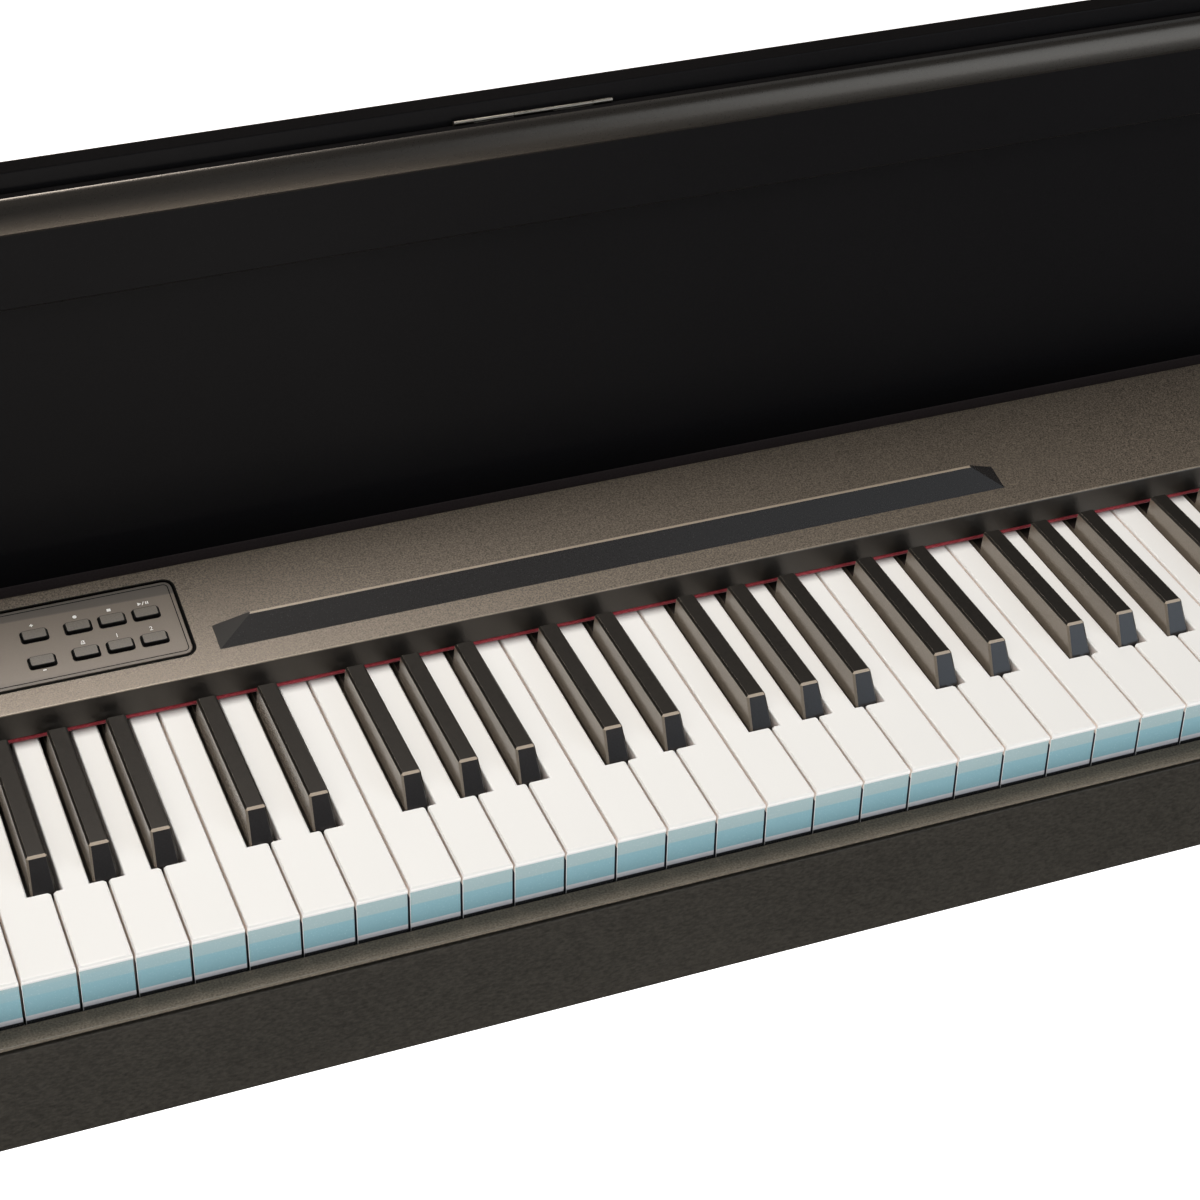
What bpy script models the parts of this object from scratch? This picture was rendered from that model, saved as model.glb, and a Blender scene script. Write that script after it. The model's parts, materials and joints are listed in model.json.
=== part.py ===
"""Slim cabinet digital piano: 88 keys, a lid with a folding front flap, and three pedals.

Units are metres. +X points to the treble side, +Y to the wall and +Z up. The origin is on the
floor under the middle of the cabinet. The player sits at -Y.
"""

import math

import bmesh
import bpy
from mathutils import Matrix, Vector

# Cabinet
CASE_DEPTH = 0.351
SIDE_THICK = 0.020
CHEEK_SPACE = 0.0465        # between the outer keys and a side panel
FIT = 0.0003                # gap between two pieces that touch
GLIDE_HEIGHT = 0.012
FRONT_Y = -CASE_DEPTH / 2
BACK_Y = CASE_DEPTH / 2

# Keyboard
WHITE_PITCH = 0.0235
WHITE_COUNT = 52
KEY_GAP = 0.001
KEY_TOP_Z = 0.722           # white key tops above the floor
KEY_SETBACK = 0.020         # key fronts behind the cabinet's front
WHITE_SHOW = 0.152          # length of a white key in front of the felt
KEY_TAIL = 0.074            # length of a key under the control panel
KEY_THICK = 0.016
SKIRT_DEPTH = 0.025
SKIRT_LENGTH = 0.024
LIP_HEIGHT = 0.0025
LIP_OVERHANG = 0.0008
NOTCH_START = 0.0495        # where the cut-outs for the black keys begin
NOTCH_WIDTH = 0.0146
NOTCH_CORNER = 0.0012
WHITE_CHAMFER = 0.0007
SHARP_FRONT = 0.0515
SHARP_END = 0.1455
SHARP_BASE = 0.0110
SHARP_TOP = 0.0090
SHARP_HEIGHT = 0.0115
SHARP_DROP = 0.0020         # how much lower a black key's top is at its back
SHARP_FACE = 0.0085         # how far a black key's front face leans back
SHARP_CHAMFER = 0.0009
SHARP_STEM = 0.0096
KEY_ROD_RADIUS = 0.0025
KEY_ROD_SETBACK = 0.008     # rod axis in front of the keys' back ends
SHARP_TAIL = 0.012          # how much further back the black keys and their rod reach
ROD_CLEARANCE = 0.0007      # over the white keys' rod, where the black keys cross it
KEY_DIP = 0.010             # at the front of a white key, and of a black key's cap
KEYBOARD_X = WHITE_PITCH * WHITE_COUNT / 2
INNER_X = KEYBOARD_X + CHEEK_SPACE
KEY_FRONT_Y = FRONT_Y + KEY_SETBACK
KEY_LENGTH = WHITE_SHOW + KEY_TAIL
KEY_ROD_Y = KEY_FRONT_Y + KEY_LENGTH - KEY_ROD_SETBACK
SHARP_ROD_Y = KEY_ROD_Y + SHARP_TAIL
KEY_ROD_Z = KEY_TOP_Z - KEY_THICK + 0.0015

# Black keys stand off the line between their two white keys
SHARP_OFFSETS = {"c": -0.0024, "d": 0.0023, "f": -0.0030, "g": 0.0, "a": 0.0030}
WHITE_NOTES = "cdefgab"
FIRST_NOTE = 5              # the keyboard starts on an A
PLAYED_OCTAVES = (3, 4)     # keys of their own, each on its hinge

# Front rail, key bed and the frame under the keys
KEYBED_THICK = 0.015
KEYBED_DROP = 0.064         # key bed's top below the key tops
RAIL_THICK = 0.012
RAIL_SETBACK = 0.007        # rail's face behind the cabinet's front
CAP_THICK = 0.0012
CAP_DROP = 0.023            # cap's top below the key tops
CAP_SETBACK = 0.0008
CAP_GROOVE = 0.0010
CAP_SEAT = 0.0025
KEY_SLIT = 0.001            # between the key fronts and the cap
FRAME_PLATE = 0.0025
FRAME_FRONT_RAIL = (0.006, 0.022)
FRAME_SHARP_RAIL = (0.056, 0.070)
FRAME_BACK_RAIL = 0.018     # in front of the keys' back ends
DOWN_STOP = 0.0006          # left under a key that is fully down
CHEEK_TOP = 0.013
CHEEK_ROUND = 0.003
CHEEK_GAP = 0.0013
BRACKET_END = 0.066         # bracket under the panel's end, behind the cheek
KEYBED_TOP = KEY_TOP_Z - KEYBED_DROP
KEYBED_BOTTOM = KEYBED_TOP - KEYBED_THICK
KEYBED_BACK = KEY_FRONT_Y + KEY_LENGTH + SHARP_TAIL + 0.002
RAIL_FACE_Y = FRONT_Y + RAIL_SETBACK
RAIL_BACK_Y = RAIL_FACE_Y + RAIL_THICK
CAP_TOP = KEY_TOP_Z - CAP_DROP

# Control panel
PANEL_FACE_Y = 0.1545       # top front edge of the panel behind the key fronts
PANEL_RISE = 0.0147         # height of that edge above the key tops
PANEL_SLOPE = math.radians(11.86)
PANEL_DEPTH = 0.0708        # along the slope
PANEL_WALL = 0.003
PANEL_FOOT = 0.0028         # panel's lower edge above the key tops
PANEL_LEAN = 0.0022         # how far the front wall leans back
PANEL_ROUND = 0.0010
PANEL_SIDE = 0.0215         # panel's end inside the cabinet's side
FELT_THICK = 0.0022
FELT_DEPTH = 0.0055

# Control plate, in the panel's own plane: x from the middle, v up the slope
PLATE_LEFT = -0.560
PLATE_RIGHT = -0.2115
PLATE_V = 0.0135
PLATE_HEIGHT = 0.0485
PLATE_CORNER = 0.005
PLATE_GROOVE = 0.0010
PLATE_THICK = 0.0012
BUTTON_WIDTH = 0.0113
BUTTON_DEPTH = 0.0060
BUTTON_PROUD = 0.0017
BUTTON_CLEAR = 0.0005
BUTTON_FLANGE = 0.0010
BUTTON_TRAVEL = 0.0008
LOWER_ROW = 0.0270
ROW_PITCH = 0.01635
COLUMN_PITCH = 0.0159
RECORD_X = -0.25975
PLUS_X = -0.2798
KNOB_X = -0.500
KNOB_RADIUS = 0.0085
KNOB_HEIGHT = 0.0075
SHAFT_RADIUS = 0.003
POWER_X = -0.536
POWER_RADIUS = 0.0042
BOARD_THICK = 0.0016
BOARD_DROP = 0.0105         # board's top below the panel's surface
BOSS_RADIUS = 0.003
SWITCH_SIZE = 0.0065

# Ledge that stops a music book on the panel
LEDGE_LEFT, LEDGE_RIGHT = -0.2009, 0.2029
LEDGE_FACETS = (0.0177, 0.0133)    # how far its left and its right end slope
LEDGE_V = 0.0128
LEDGE_DEPTH = 0.0152
LEDGE_HEIGHT = 0.0046
LEDGE_FLAT = 0.0012

# Lid, modelled closed and turned open about its pivots
LID_THICK = 0.015
LID_OVER_KEYS = 0.034       # closed lid's underside above the key tops
LID_PIVOT_Y = 0.2095        # pivot behind the key fronts
LID_PIVOT_DROP = 0.006      # pivot below the key tops
LID_TAIL = 0.059            # lid behind its pivots when closed
LID_LEAN = math.radians(6)  # open lid leans back past upright
LID_SIDE_GAP = 0.0025
LID_ROUND = 0.0075
LID_EDGE = 0.0020
ARM_THICK = 0.004
ARM_GAP = 0.004             # between the panel's end and the arm
ARM_HALF = 0.028
ARM_FLANGE = 0.002
ARM_BOSS = 0.010
AXLE_RADIUS = 0.004
AXLE_CLEAR = 0.0003
AXLE_BORE = 0.010
PIVOT_Y = KEY_FRONT_Y + LID_PIVOT_Y
PIVOT_Z = KEY_TOP_Z - LID_PIVOT_DROP
LID_OFFSET = LID_OVER_KEYS + LID_PIVOT_DROP
LID_REACH = LID_PIVOT_Y + KEY_SETBACK
LID_HALF = INNER_X - LID_SIDE_GAP
CLOSED_TOP = KEY_TOP_Z + LID_OVER_KEYS + LID_THICK

# Front flap and its three butt hinges
FLAP_SETBACK = 0.0079      # hinge axis behind the lid's front edge
FLAP_LENGTH = 0.0527
FLAP_THICK = 0.0080
NOSE_THICK = 0.0090
NOSE_LENGTH = 0.0168
NOSE_SHOULDER = 0.00235     # thickness at the nose's upper edge, where its round begins
NOSE_RUN = 0.0146           # length of that round along the flap
FLAP_EDGE = 0.0010
FOLD_GAP = 0.0024
HINGE_DROP = 0.0028         # hinge axis under the lid
HINGE_LENGTH = 0.0785
HINGE_PLACES = (-0.520, -0.012, 0.520)
HINGE_LEAF = 0.0007
HINGE_WIDTH = 0.012
BARREL_RADIUS = 0.0009
PIN_BORE = 0.0006
PIN_RADIUS = 0.0004
KNUCKLE_ENDS = (0.0, 0.125, 0.375, 0.625, 0.875, 1.0)

# Back of the cabinet
BACK_THICK = 0.012
BACK_LIP = 0.003
REAR_BOARD_GAP = 0.0050     # slot behind the closed lid
REAR_BOARD_LAND = 0.0075
REAR_BOARD_UNDERCUT = 0.006
STOP_RADIUS = 0.0025
STOP_SPREAD = 0.450
STAND_BACK = (0.370, 0.630)
STAND_BACK_THICK = 0.015
STAND_BACK_INSET = 0.012

# Sockets at the back
SOCKET_X = 0.365
SOCKET_PITCH = 0.030
SOCKET_COUNT = 3
SOCKET_RADIUS = 0.0034
SOCKET_DEPTH = 0.009
SOCKET_BLOCK = (0.094, 0.0145, 0.016)
SOCKET_DROP = 0.045
WINDOW_CLEAR = 0.0010

# Side panels
HEAD_DROP = 0.012           # side panel's head below the key bed
LEG_FRONT = 0.112           # leg's front behind the cabinet's front
FOOT_HEIGHT = 0.034
FOOT_SETBACK = 0.010
HEAD_CURVE = 0.060
FOOT_CURVE = 0.045
SIDE_EDGE = 0.0012
GLIDE_RADIUS = 0.009
GLIDE_INSET = 0.035

# Speakers in the key bed
SPEAKER_X = 0.430
SPEAKER_Y = 0.110           # behind the key fronts
SPEAKER_LONG = 0.080
SPEAKER_SHORT = 0.048
SPEAKER_DEPTH = 0.038
SPEAKER_FLANGE = 0.006
FLANGE_THICK = 0.003
MAGNET_LENGTH = 0.012
MAGNET_SHARE = 0.42         # of the hole's half sizes, as the next two
NECK_SHARE = 0.55
BASKET_SHARE = 0.90
NECK_LENGTH = 0.002
GRILLE_EDGE = 0.0004
SPEAKER_CLEAR = 0.0005

# Pedals
BEAM_BOTTOM = 0.024
BEAM_TOP = 0.112
BEAM_THICK = 0.018
BEAM_Y = 0.160              # beam's face behind the key fronts
BOX_HALF = 0.115
BOX_FRONT = 0.126
BOX_BACK = 0.220
BOX_WALL = 0.004
PEDAL_SPACING = 0.070
PEDAL_PIVOT_Y = 0.202
PEDAL_TOP_Z = 0.064
PEDAL_THICK = 0.008
PEDAL_ARM = 0.016
PEDAL_TOE = 0.030
PEDAL_REACH = 0.163
PEDAL_FLARE = 0.060
PEDAL_TRAVEL = math.radians(5)
PEDAL_CLEAR = 0.002
PEDAL_ROD = 0.003
FOOT_RADIUS = 0.014

PIECES = bpy.data.collections.new("digital_piano")
CUTTERS = bpy.data.collections.new("cutters")

BLACK_BROWN = (0.034, 0.030, 0.026)
BLACK_SATIN = (0.007, 0.007, 0.008)
PANEL_GREY = (0.085, 0.075, 0.062)
PLATE_BRONZE = (0.200, 0.165, 0.125)
IVORY_WHITE = (0.880, 0.860, 0.820)
KEY_BLACK = (0.012, 0.011, 0.010)
FELT_RED = (0.320, 0.030, 0.040)
STEEL = (0.480, 0.480, 0.490)
BRASS = (0.620, 0.440, 0.170)
BOARD_GREEN = (0.020, 0.120, 0.050)


def clear_scene():
    """Removes what the scene holds and links the two collections."""
    for item in list(bpy.data.objects):
        bpy.data.objects.remove(item, do_unlink=True)
    bpy.context.scene.collection.children.link(PIECES)
    bpy.context.scene.collection.children.link(CUTTERS)


def finish_of(name, colour, roughness, metallic=0.0):
    """A material for one node."""
    material = bpy.data.materials.new(name + "_finish")
    material.use_nodes = True
    shader = material.node_tree.nodes["Principled BSDF"]
    shader.inputs["Base Color"].default_value = (*colour, 1.0)
    shader.inputs["Roughness"].default_value = roughness
    shader.inputs["Metallic"].default_value = metallic
    return material


def add_piece(name, mesh, colour, roughness=0.5, metallic=0.0, place=None, parent=None):
    """Links a mesh as a named piece with its own material."""
    piece = bpy.data.objects.new(name, mesh)
    mesh.materials.clear()
    mesh.materials.append(finish_of(name, colour, roughness, metallic))
    PIECES.objects.link(piece)
    piece.parent = parent
    if place is not None:
        piece.location = place
    return piece


def add_axis(name, place, turn_x=0.0, parent=None):
    """An empty that marks an axis or a plane that other pieces hang from."""
    axis = bpy.data.objects.new(name, None)
    PIECES.objects.link(axis)
    axis.location = place
    axis.rotation_euler = (turn_x, 0.0, 0.0)
    axis.parent = parent
    return axis


def add_cutter(mesh, parent=None):
    """Links a mesh as a hidden cutter."""
    cutter = bpy.data.objects.new("cutter", mesh)
    CUTTERS.objects.link(cutter)
    cutter.hide_render = True
    cutter.display_type = "WIRE"
    cutter.parent = parent
    return cutter


def carve(piece, mesh, operation="DIFFERENCE", parent=None):
    """Cuts a mesh out of a piece, or adds it, with an exact Boolean."""
    step = piece.modifiers.new(operation.lower(), "BOOLEAN")
    step.operation = operation
    step.solver = "EXACT"
    step.object = add_cutter(mesh, parent)


def soften(piece, width, segments=1, angle=math.radians(35)):
    """Rounds the sharp edges of a piece."""
    step = piece.modifiers.new("edges", "BEVEL")
    step.width = width
    step.segments = segments
    step.limit_method = "ANGLE"
    step.angle_limit = angle


def mesh_from(shape, name="mesh"):
    """Turns a bmesh into a mesh and frees it."""
    mesh = bpy.data.meshes.new(name)
    shape.to_mesh(mesh)
    shape.free()
    return mesh


def box(low, high):
    """A box mesh between two corners."""
    shape = bmesh.new()
    bmesh.ops.create_cube(shape, size=1.0)
    size = [b - a for a, b in zip(low, high)]
    middle = [(a + b) / 2 for a, b in zip(low, high)]
    bmesh.ops.scale(shape, vec=size, verts=shape.verts)
    bmesh.ops.translate(shape, vec=middle, verts=shape.verts)
    return mesh_from(shape)


def rod(start, end, radius, sides=12):
    """A cylinder between two points."""
    start, end = Vector(start), Vector(end)
    along = end - start
    shape = bmesh.new()
    bmesh.ops.create_cone(
        shape,
        cap_ends=True,
        segments=sides,
        radius1=radius,
        radius2=radius,
        depth=along.length,
    )
    turn = along.to_track_quat("Z", "Y").to_matrix().to_4x4()
    bmesh.ops.transform(shape, matrix=Matrix.Translation((start + end) / 2) @ turn, verts=shape.verts)
    mesh = mesh_from(shape)
    mesh.shade_smooth()
    mesh.set_sharp_from_angle(angle=math.radians(40))
    return mesh


def joined(meshes):
    """One mesh that holds several separate solids."""
    shape = bmesh.new()
    for mesh in meshes:
        shape.from_mesh(mesh)
    return mesh_from(shape)


def shifted(mesh, offset):
    """A copy of a mesh, moved."""
    copy = mesh.copy()
    copy.transform(Matrix.Translation(offset))
    return copy


def rounded(corners, steps=3):
    """Outline points for corners (x, y, radius), where a radius becomes an arc."""
    points = []
    for i, (x, y, radius) in enumerate(corners):
        here = Vector((x, y))
        if radius <= 0:
            points.append(tuple(here))
            continue
        before = (Vector(corners[i - 1][:2]) - here).normalized()
        after = (Vector(corners[(i + 1) % len(corners)][:2]) - here).normalized()
        half = before.angle(after) / 2
        run = radius / math.tan(half)
        centre = here + (before + after).normalized() * (radius / math.sin(half))
        first, last = here + before * run - centre, here + after * run - centre
        sweep = first.angle_signed(last)
        for k in range(steps + 1):
            turned = first.copy()
            turned.rotate(Matrix.Rotation(-sweep * k / steps, 2))
            points.append(tuple(centre + turned))
    return points


def prism(outlines, thick, axis="Z"):
    """A flat curve filled and extruded both ways, as a closed mesh. Axis X stands it in the YZ plane."""
    curve = bpy.data.curves.new("outline", "CURVE")
    curve.dimensions = "2D"
    curve.fill_mode = "BOTH"
    curve.extrude = thick / 2
    for outline in outlines:
        spline = curve.splines.new("POLY")
        spline.points.add(len(outline) - 1)
        for point, (x, y) in zip(spline.points, outline):
            point.co = (x, y, 0.0, 1.0)
        spline.use_cyclic_u = True
    holder = bpy.data.objects.new("outline", curve)
    CUTTERS.objects.link(holder)
    bpy.context.view_layer.update()
    mesh = bpy.data.meshes.new_from_object(holder.evaluated_get(bpy.context.evaluated_depsgraph_get()))
    bpy.data.objects.remove(holder)
    shape = bmesh.new()
    shape.from_mesh(mesh)
    bmesh.ops.remove_doubles(shape, verts=shape.verts, dist=1e-6)
    bmesh.ops.dissolve_limit(shape, angle_limit=math.radians(0.5), verts=shape.verts, edges=shape.edges)
    if axis == "X":
        stand = Matrix(((0, 0, 1, 0), (1, 0, 0, 0), (0, 1, 0, 0), (0, 0, 0, 1)))
        bmesh.ops.transform(shape, matrix=stand, verts=shape.verts)
    bmesh.ops.recalc_face_normals(shape, faces=shape.faces)
    return mesh_from(shape)


def combined(first, second, operation):
    """The mesh that a Boolean of two meshes gives."""
    base = bpy.data.objects.new("base", first)
    CUTTERS.objects.link(base)
    tool = bpy.data.objects.new("tool", second)
    CUTTERS.objects.link(tool)
    step = base.modifiers.new("boolean", "BOOLEAN")
    step.operation = operation
    step.solver = "EXACT"
    step.object = tool
    bpy.context.view_layer.update()
    mesh = bpy.data.meshes.new_from_object(base.evaluated_get(bpy.context.evaluated_depsgraph_get()))
    bpy.data.objects.remove(base)
    bpy.data.objects.remove(tool)
    return mesh


def turned(profile, steps=20):
    """A solid turned about Z from (radius, z) points that run down its outer side."""
    shape = bmesh.new()
    verts = [shape.verts.new((r, 0.0, z)) for r, z in profile]
    for a, b in zip(verts, verts[1:]):
        shape.edges.new((a, b))
    holder = bpy.data.objects.new("turned", mesh_from(shape))
    CUTTERS.objects.link(holder)
    screw = holder.modifiers.new("turn", "SCREW")
    screw.steps = steps
    screw.render_steps = steps
    screw.use_merge_vertices = True
    screw.merge_threshold = 0.00001
    bpy.context.view_layer.update()
    mesh = bpy.data.meshes.new_from_object(holder.evaluated_get(bpy.context.evaluated_depsgraph_get()))
    bpy.data.objects.remove(holder)
    shape = bmesh.new()
    shape.from_mesh(mesh)
    bmesh.ops.recalc_face_normals(shape, faces=shape.faces)
    return mesh_from(shape)


# Keyboard


def saddle(at, radius, facets=5):
    """Points round a notch in a key's underside that is centred on a rod, from front to back."""
    reach = radius / math.cos(math.radians(125 / facets))
    low = math.asin((KEY_ROD_Z - (KEY_TOP_Z - KEY_THICK)) / reach)
    turns = [math.pi + low - (math.pi + 2 * low) * k / facets for k in range(facets + 1)]
    return [(at + reach * math.cos(a), reach * math.sin(a)) for a in turns]


def white_key(note, has_left, has_right, loose):
    """A white key: its side profile crossed with its plan, from its left line and the rod's axis.

    A loose key has a notch that rides on the rod. Any other key is made in one piece with the rod.
    """
    fore = -(KEY_LENGTH - KEY_ROD_SETBACK)
    top = KEY_TOP_Z - KEY_ROD_Z
    under = top - KEY_THICK
    face = fore + LIP_OVERHANG
    outline = [
        (fore, top),
        (fore, top - LIP_HEIGHT),
        (face, top - LIP_HEIGHT),
        (face, top - SKIRT_DEPTH),
        (fore + SKIRT_LENGTH, top - SKIRT_DEPTH),
        (fore + SKIRT_LENGTH, under),
        *(saddle(0.0, KEY_ROD_RADIUS + FIT) if loose else []),
        (KEY_ROD_SETBACK, under),
        (KEY_ROD_SETBACK, top),
    ]
    side = prism([outline], WHITE_PITCH * 3, axis="X")
    half = KEY_GAP / 2
    left_note = WHITE_NOTES[WHITE_NOTES.index(note) - 1]
    left = SHARP_OFFSETS[left_note] + NOTCH_WIDTH / 2 if has_left else half
    right = WHITE_PITCH + SHARP_OFFSETS[note] - NOTCH_WIDTH / 2 if has_right else WHITE_PITCH - half
    notch, end = fore + NOTCH_START, KEY_ROD_SETBACK * 2
    corners = [(half, fore * 2, 0), (WHITE_PITCH - half, fore * 2, 0)]
    if has_right:
        corners += [(WHITE_PITCH - half, notch, NOTCH_CORNER), (right, notch, 0)]
    corners += [(right, end, 0), (left, end, 0)]
    if has_left:
        corners += [(left, notch, 0), (half, notch, NOTCH_CORNER)]
    plan = prism([rounded(corners, 2 if loose else 1)], KEY_THICK * 6)
    shape = bmesh.new()
    shape.from_mesh(combined(side, plan, "INTERSECT"))
    bmesh.ops.remove_doubles(shape, verts=shape.verts, dist=1e-6)
    bmesh.ops.dissolve_limit(shape, angle_limit=math.radians(0.5), verts=shape.verts, edges=shape.edges)
    shown = fore + WHITE_SHOW
    rim = [
        e
        for e in shape.edges
        if all(v.co.z > top - 1e-5 for v in e.verts)
        and min(v.co.y for v in e.verts) < shown
        and e.calc_face_angle() > 1.0
    ]
    bmesh.ops.bevel(shape, geom=rim, offset=WHITE_CHAMFER, segments=1, profile=0.5, affect="EDGES")
    return mesh_from(shape)


def black_key(loose):
    """A black key from its middle line: a tapered cap on a stem that crosses the white keys' rod."""
    fore = -(KEY_LENGTH + SHARP_TAIL - KEY_ROD_SETBACK)
    top = KEY_TOP_Z - KEY_ROD_Z
    low, high = fore + SHARP_FRONT, fore + SHARP_END
    shape = bmesh.new()
    bmesh.ops.create_cube(shape, size=1.0)
    for v in shape.verts:
        upper, back = v.co.z > 0, v.co.y > 0
        width = SHARP_TOP if upper else SHARP_BASE
        v.co.x = math.copysign(width / 2, v.co.x)
        v.co.y = high if back else low + (SHARP_FACE if upper else 0.0)
        v.co.z = top + SHARP_HEIGHT - (SHARP_DROP if back else 0.0) if upper else top - LIP_HEIGHT
    rim = [e for e in shape.edges if max(v.co.z for v in e.verts) > top + SHARP_HEIGHT / 2]
    bmesh.ops.bevel(shape, geom=rim, offset=SHARP_CHAMFER, segments=1, profile=0.5, affect="EDGES")
    nose, stem_top, under = low + SHARP_CHAMFER, top - LIP_HEIGHT / 2, top - KEY_THICK
    outline = [
        (nose, stem_top),
        (nose, under),
        *saddle(-SHARP_TAIL, KEY_ROD_RADIUS + ROD_CLEARANCE, 3),
        *(saddle(0.0, KEY_ROD_RADIUS + FIT) if loose else []),
        (KEY_ROD_SETBACK, under),
        (KEY_ROD_SETBACK, stem_top),
    ]
    return combined(mesh_from(shape), prism([outline], SHARP_STEM, axis="X"), "UNION")


def key_places():
    """Every key as (note, octave, x), where x is a white key's left line or a black key's middle."""
    keys = []
    for i in range(WHITE_COUNT):
        step = i + FIRST_NOTE
        note, octave = WHITE_NOTES[step % 7], step // 7
        x = i * WHITE_PITCH - KEYBOARD_X
        keys.append((note, octave, x))
        if note in SHARP_OFFSETS and i < WHITE_COUNT - 1:
            keys.append((note + "s", octave, x + WHITE_PITCH + SHARP_OFFSETS[note]))
    return keys


def make_keys():
    """Two middle octaves key by key. The outer keys are fused with the rod that carries their colour."""
    shapes = {}
    banks = {"white": [], "black": []}
    places = key_places()
    for index, (note, octave, x) in enumerate(places):
        colour = "black" if note.endswith("s") else "white"
        loose = octave in PLAYED_OCTAVES
        if colour == "black":
            kind = (loose,)
        else:
            has_left = index > 0 and places[index - 1][0].endswith("s")
            has_right = index < len(places) - 1 and places[index + 1][0].endswith("s")
            kind = (note, has_left, has_right, loose)
        if kind not in shapes:
            shapes[kind] = black_key(*kind) if colour == "black" else white_key(*kind)
        if not loose:
            banks[colour].append(shifted(shapes[kind], (x, 0.0, 0.0)))
            continue
        finish = (KEY_BLACK, 0.45) if colour == "black" else (IVORY_WHITE, 0.25)
        rod_y = SHARP_ROD_Y if colour == "black" else KEY_ROD_Y
        add_piece(f"key_{note}{octave}", shapes[kind].copy(), *finish, place=(x, rod_y, KEY_ROD_Z))
    played = [x for note, octave, x in places if octave in PLAYED_OCTAVES and not note.endswith("s")]
    axle = key_rod(min(played), max(played) + WHITE_PITCH)
    whites = combined(joined(banks["white"]), axle, "UNION")
    blacks = combined(joined(banks["black"]), axle, "UNION")
    add_piece("white_key_bank", whites, IVORY_WHITE, 0.25, place=(0.0, KEY_ROD_Y, KEY_ROD_Z))
    add_piece("black_key_bank", blacks, KEY_BLACK, 0.45, place=(0.0, SHARP_ROD_Y, KEY_ROD_Z))


def key_rod(left, right):
    """The rod under the played keys, between left and right, and the square bars that it runs on into."""
    half = KEY_ROD_RADIUS - FIT
    end, seat = KEYBOARD_X - FIT, WHITE_PITCH / 2
    middle = rod((left - seat * 1.5, 0.0, 0.0), (right + seat * 1.5, 0.0, 0.0), KEY_ROD_RADIUS)
    low = box((-end, -half, -half), (left - seat, half, half))
    high = box((right + seat, -half, -half), (end, half, half))
    return combined(combined(middle, low, "UNION"), high, "UNION")


def make_key_frame():
    """The frame under the keys: a base plate, a stop rail for each colour, and a rail for the two rods."""
    base = KEYBED_TOP + FIT
    plate_top = base + FRAME_PLATE
    reach = KEY_ROD_Y - KEY_FRONT_Y
    slope = KEY_DIP / reach
    stop = KEY_TOP_Z - SKIRT_DEPTH - (reach - FRAME_FRONT_RAIL[0]) * slope - DOWN_STOP
    reach += SHARP_TAIL
    slope = KEY_DIP / (reach - SHARP_FRONT)
    sharp_stop = KEY_TOP_Z - KEY_THICK - (reach - FRAME_SHARP_RAIL[0]) * slope - DOWN_STOP
    y0, y1 = [KEY_FRONT_Y + y for y in FRAME_FRONT_RAIL]
    ya, yb = [KEY_FRONT_Y + y for y in FRAME_SHARP_RAIL]
    y2 = KEY_FRONT_Y + KEY_LENGTH - FRAME_BACK_RAIL
    y3 = KEY_FRONT_Y + KEY_LENGTH + SHARP_TAIL
    rest = KEY_ROD_Z - KEY_ROD_RADIUS - FIT
    outline = [(y0, base), (y3, base), (y3, rest), (y2, rest), (y2, plate_top), (yb, plate_top)]
    outline += [(yb, sharp_stop), (ya, sharp_stop), (ya, plate_top), (y1, plate_top), (y1, stop), (y0, stop)]
    rail = prism([outline], (KEYBOARD_X - FIT) * 2, axis="X")
    frame = add_piece("key_frame", rail, STEEL, 0.4, 0.6)
    for side in (-1, 1):
        x = side * SPEAKER_X
        y = KEY_FRONT_Y + SPEAKER_Y
        long, short = SPEAKER_LONG + SPEAKER_FLANGE * 2, SPEAKER_SHORT + SPEAKER_FLANGE * 2
        carve(frame, box((x - long, y - short, base - 0.01), (x + long, y + short, plate_top + 0.01)))


def make_front():
    """Key bed with the cheeks glued on at both ends of the keys, front rail, and the cap on it."""
    half = INNER_X - FIT
    bed = box((-half, RAIL_BACK_Y + FIT, KEYBED_BOTTOM), (half, KEYBED_BACK, KEYBED_TOP))
    bed = add_piece("keybed", bed, BLACK_BROWN, 0.6)
    for side in (-1, 1):
        carve(bed, speaker_hole(side))
        carve(bed, cheek(side, half), "UNION")
    seat = CAP_TOP - CAP_THICK - FIT
    lip = seat - CAP_GROOVE
    seat_y = RAIL_FACE_Y + CAP_SEAT
    corners = [
        (RAIL_FACE_Y, KEYBED_BOTTOM, 0.0008),
        (RAIL_BACK_Y, KEYBED_BOTTOM, 0),
        (RAIL_BACK_Y, seat, 0),
        (seat_y, seat, 0),
        (seat_y, lip, 0),
        (RAIL_FACE_Y, lip, 0.0008),
    ]
    add_piece("front_rail", prism([rounded(corners)], half * 2, axis="X"), BLACK_BROWN, 0.55)
    cap_front, cap_back = RAIL_FACE_Y + CAP_SETBACK, KEY_FRONT_Y - KEY_SLIT
    corners = [
        (cap_front, CAP_TOP - CAP_THICK, 0),
        (cap_back, CAP_TOP - CAP_THICK, 0),
        (cap_back, CAP_TOP, 0.0004),
        (cap_front, CAP_TOP, 0.0005),
    ]
    add_piece("key_slip_cap", prism([rounded(corners, 2)], half * 2, axis="X"), PANEL_GREY, 0.6)


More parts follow.
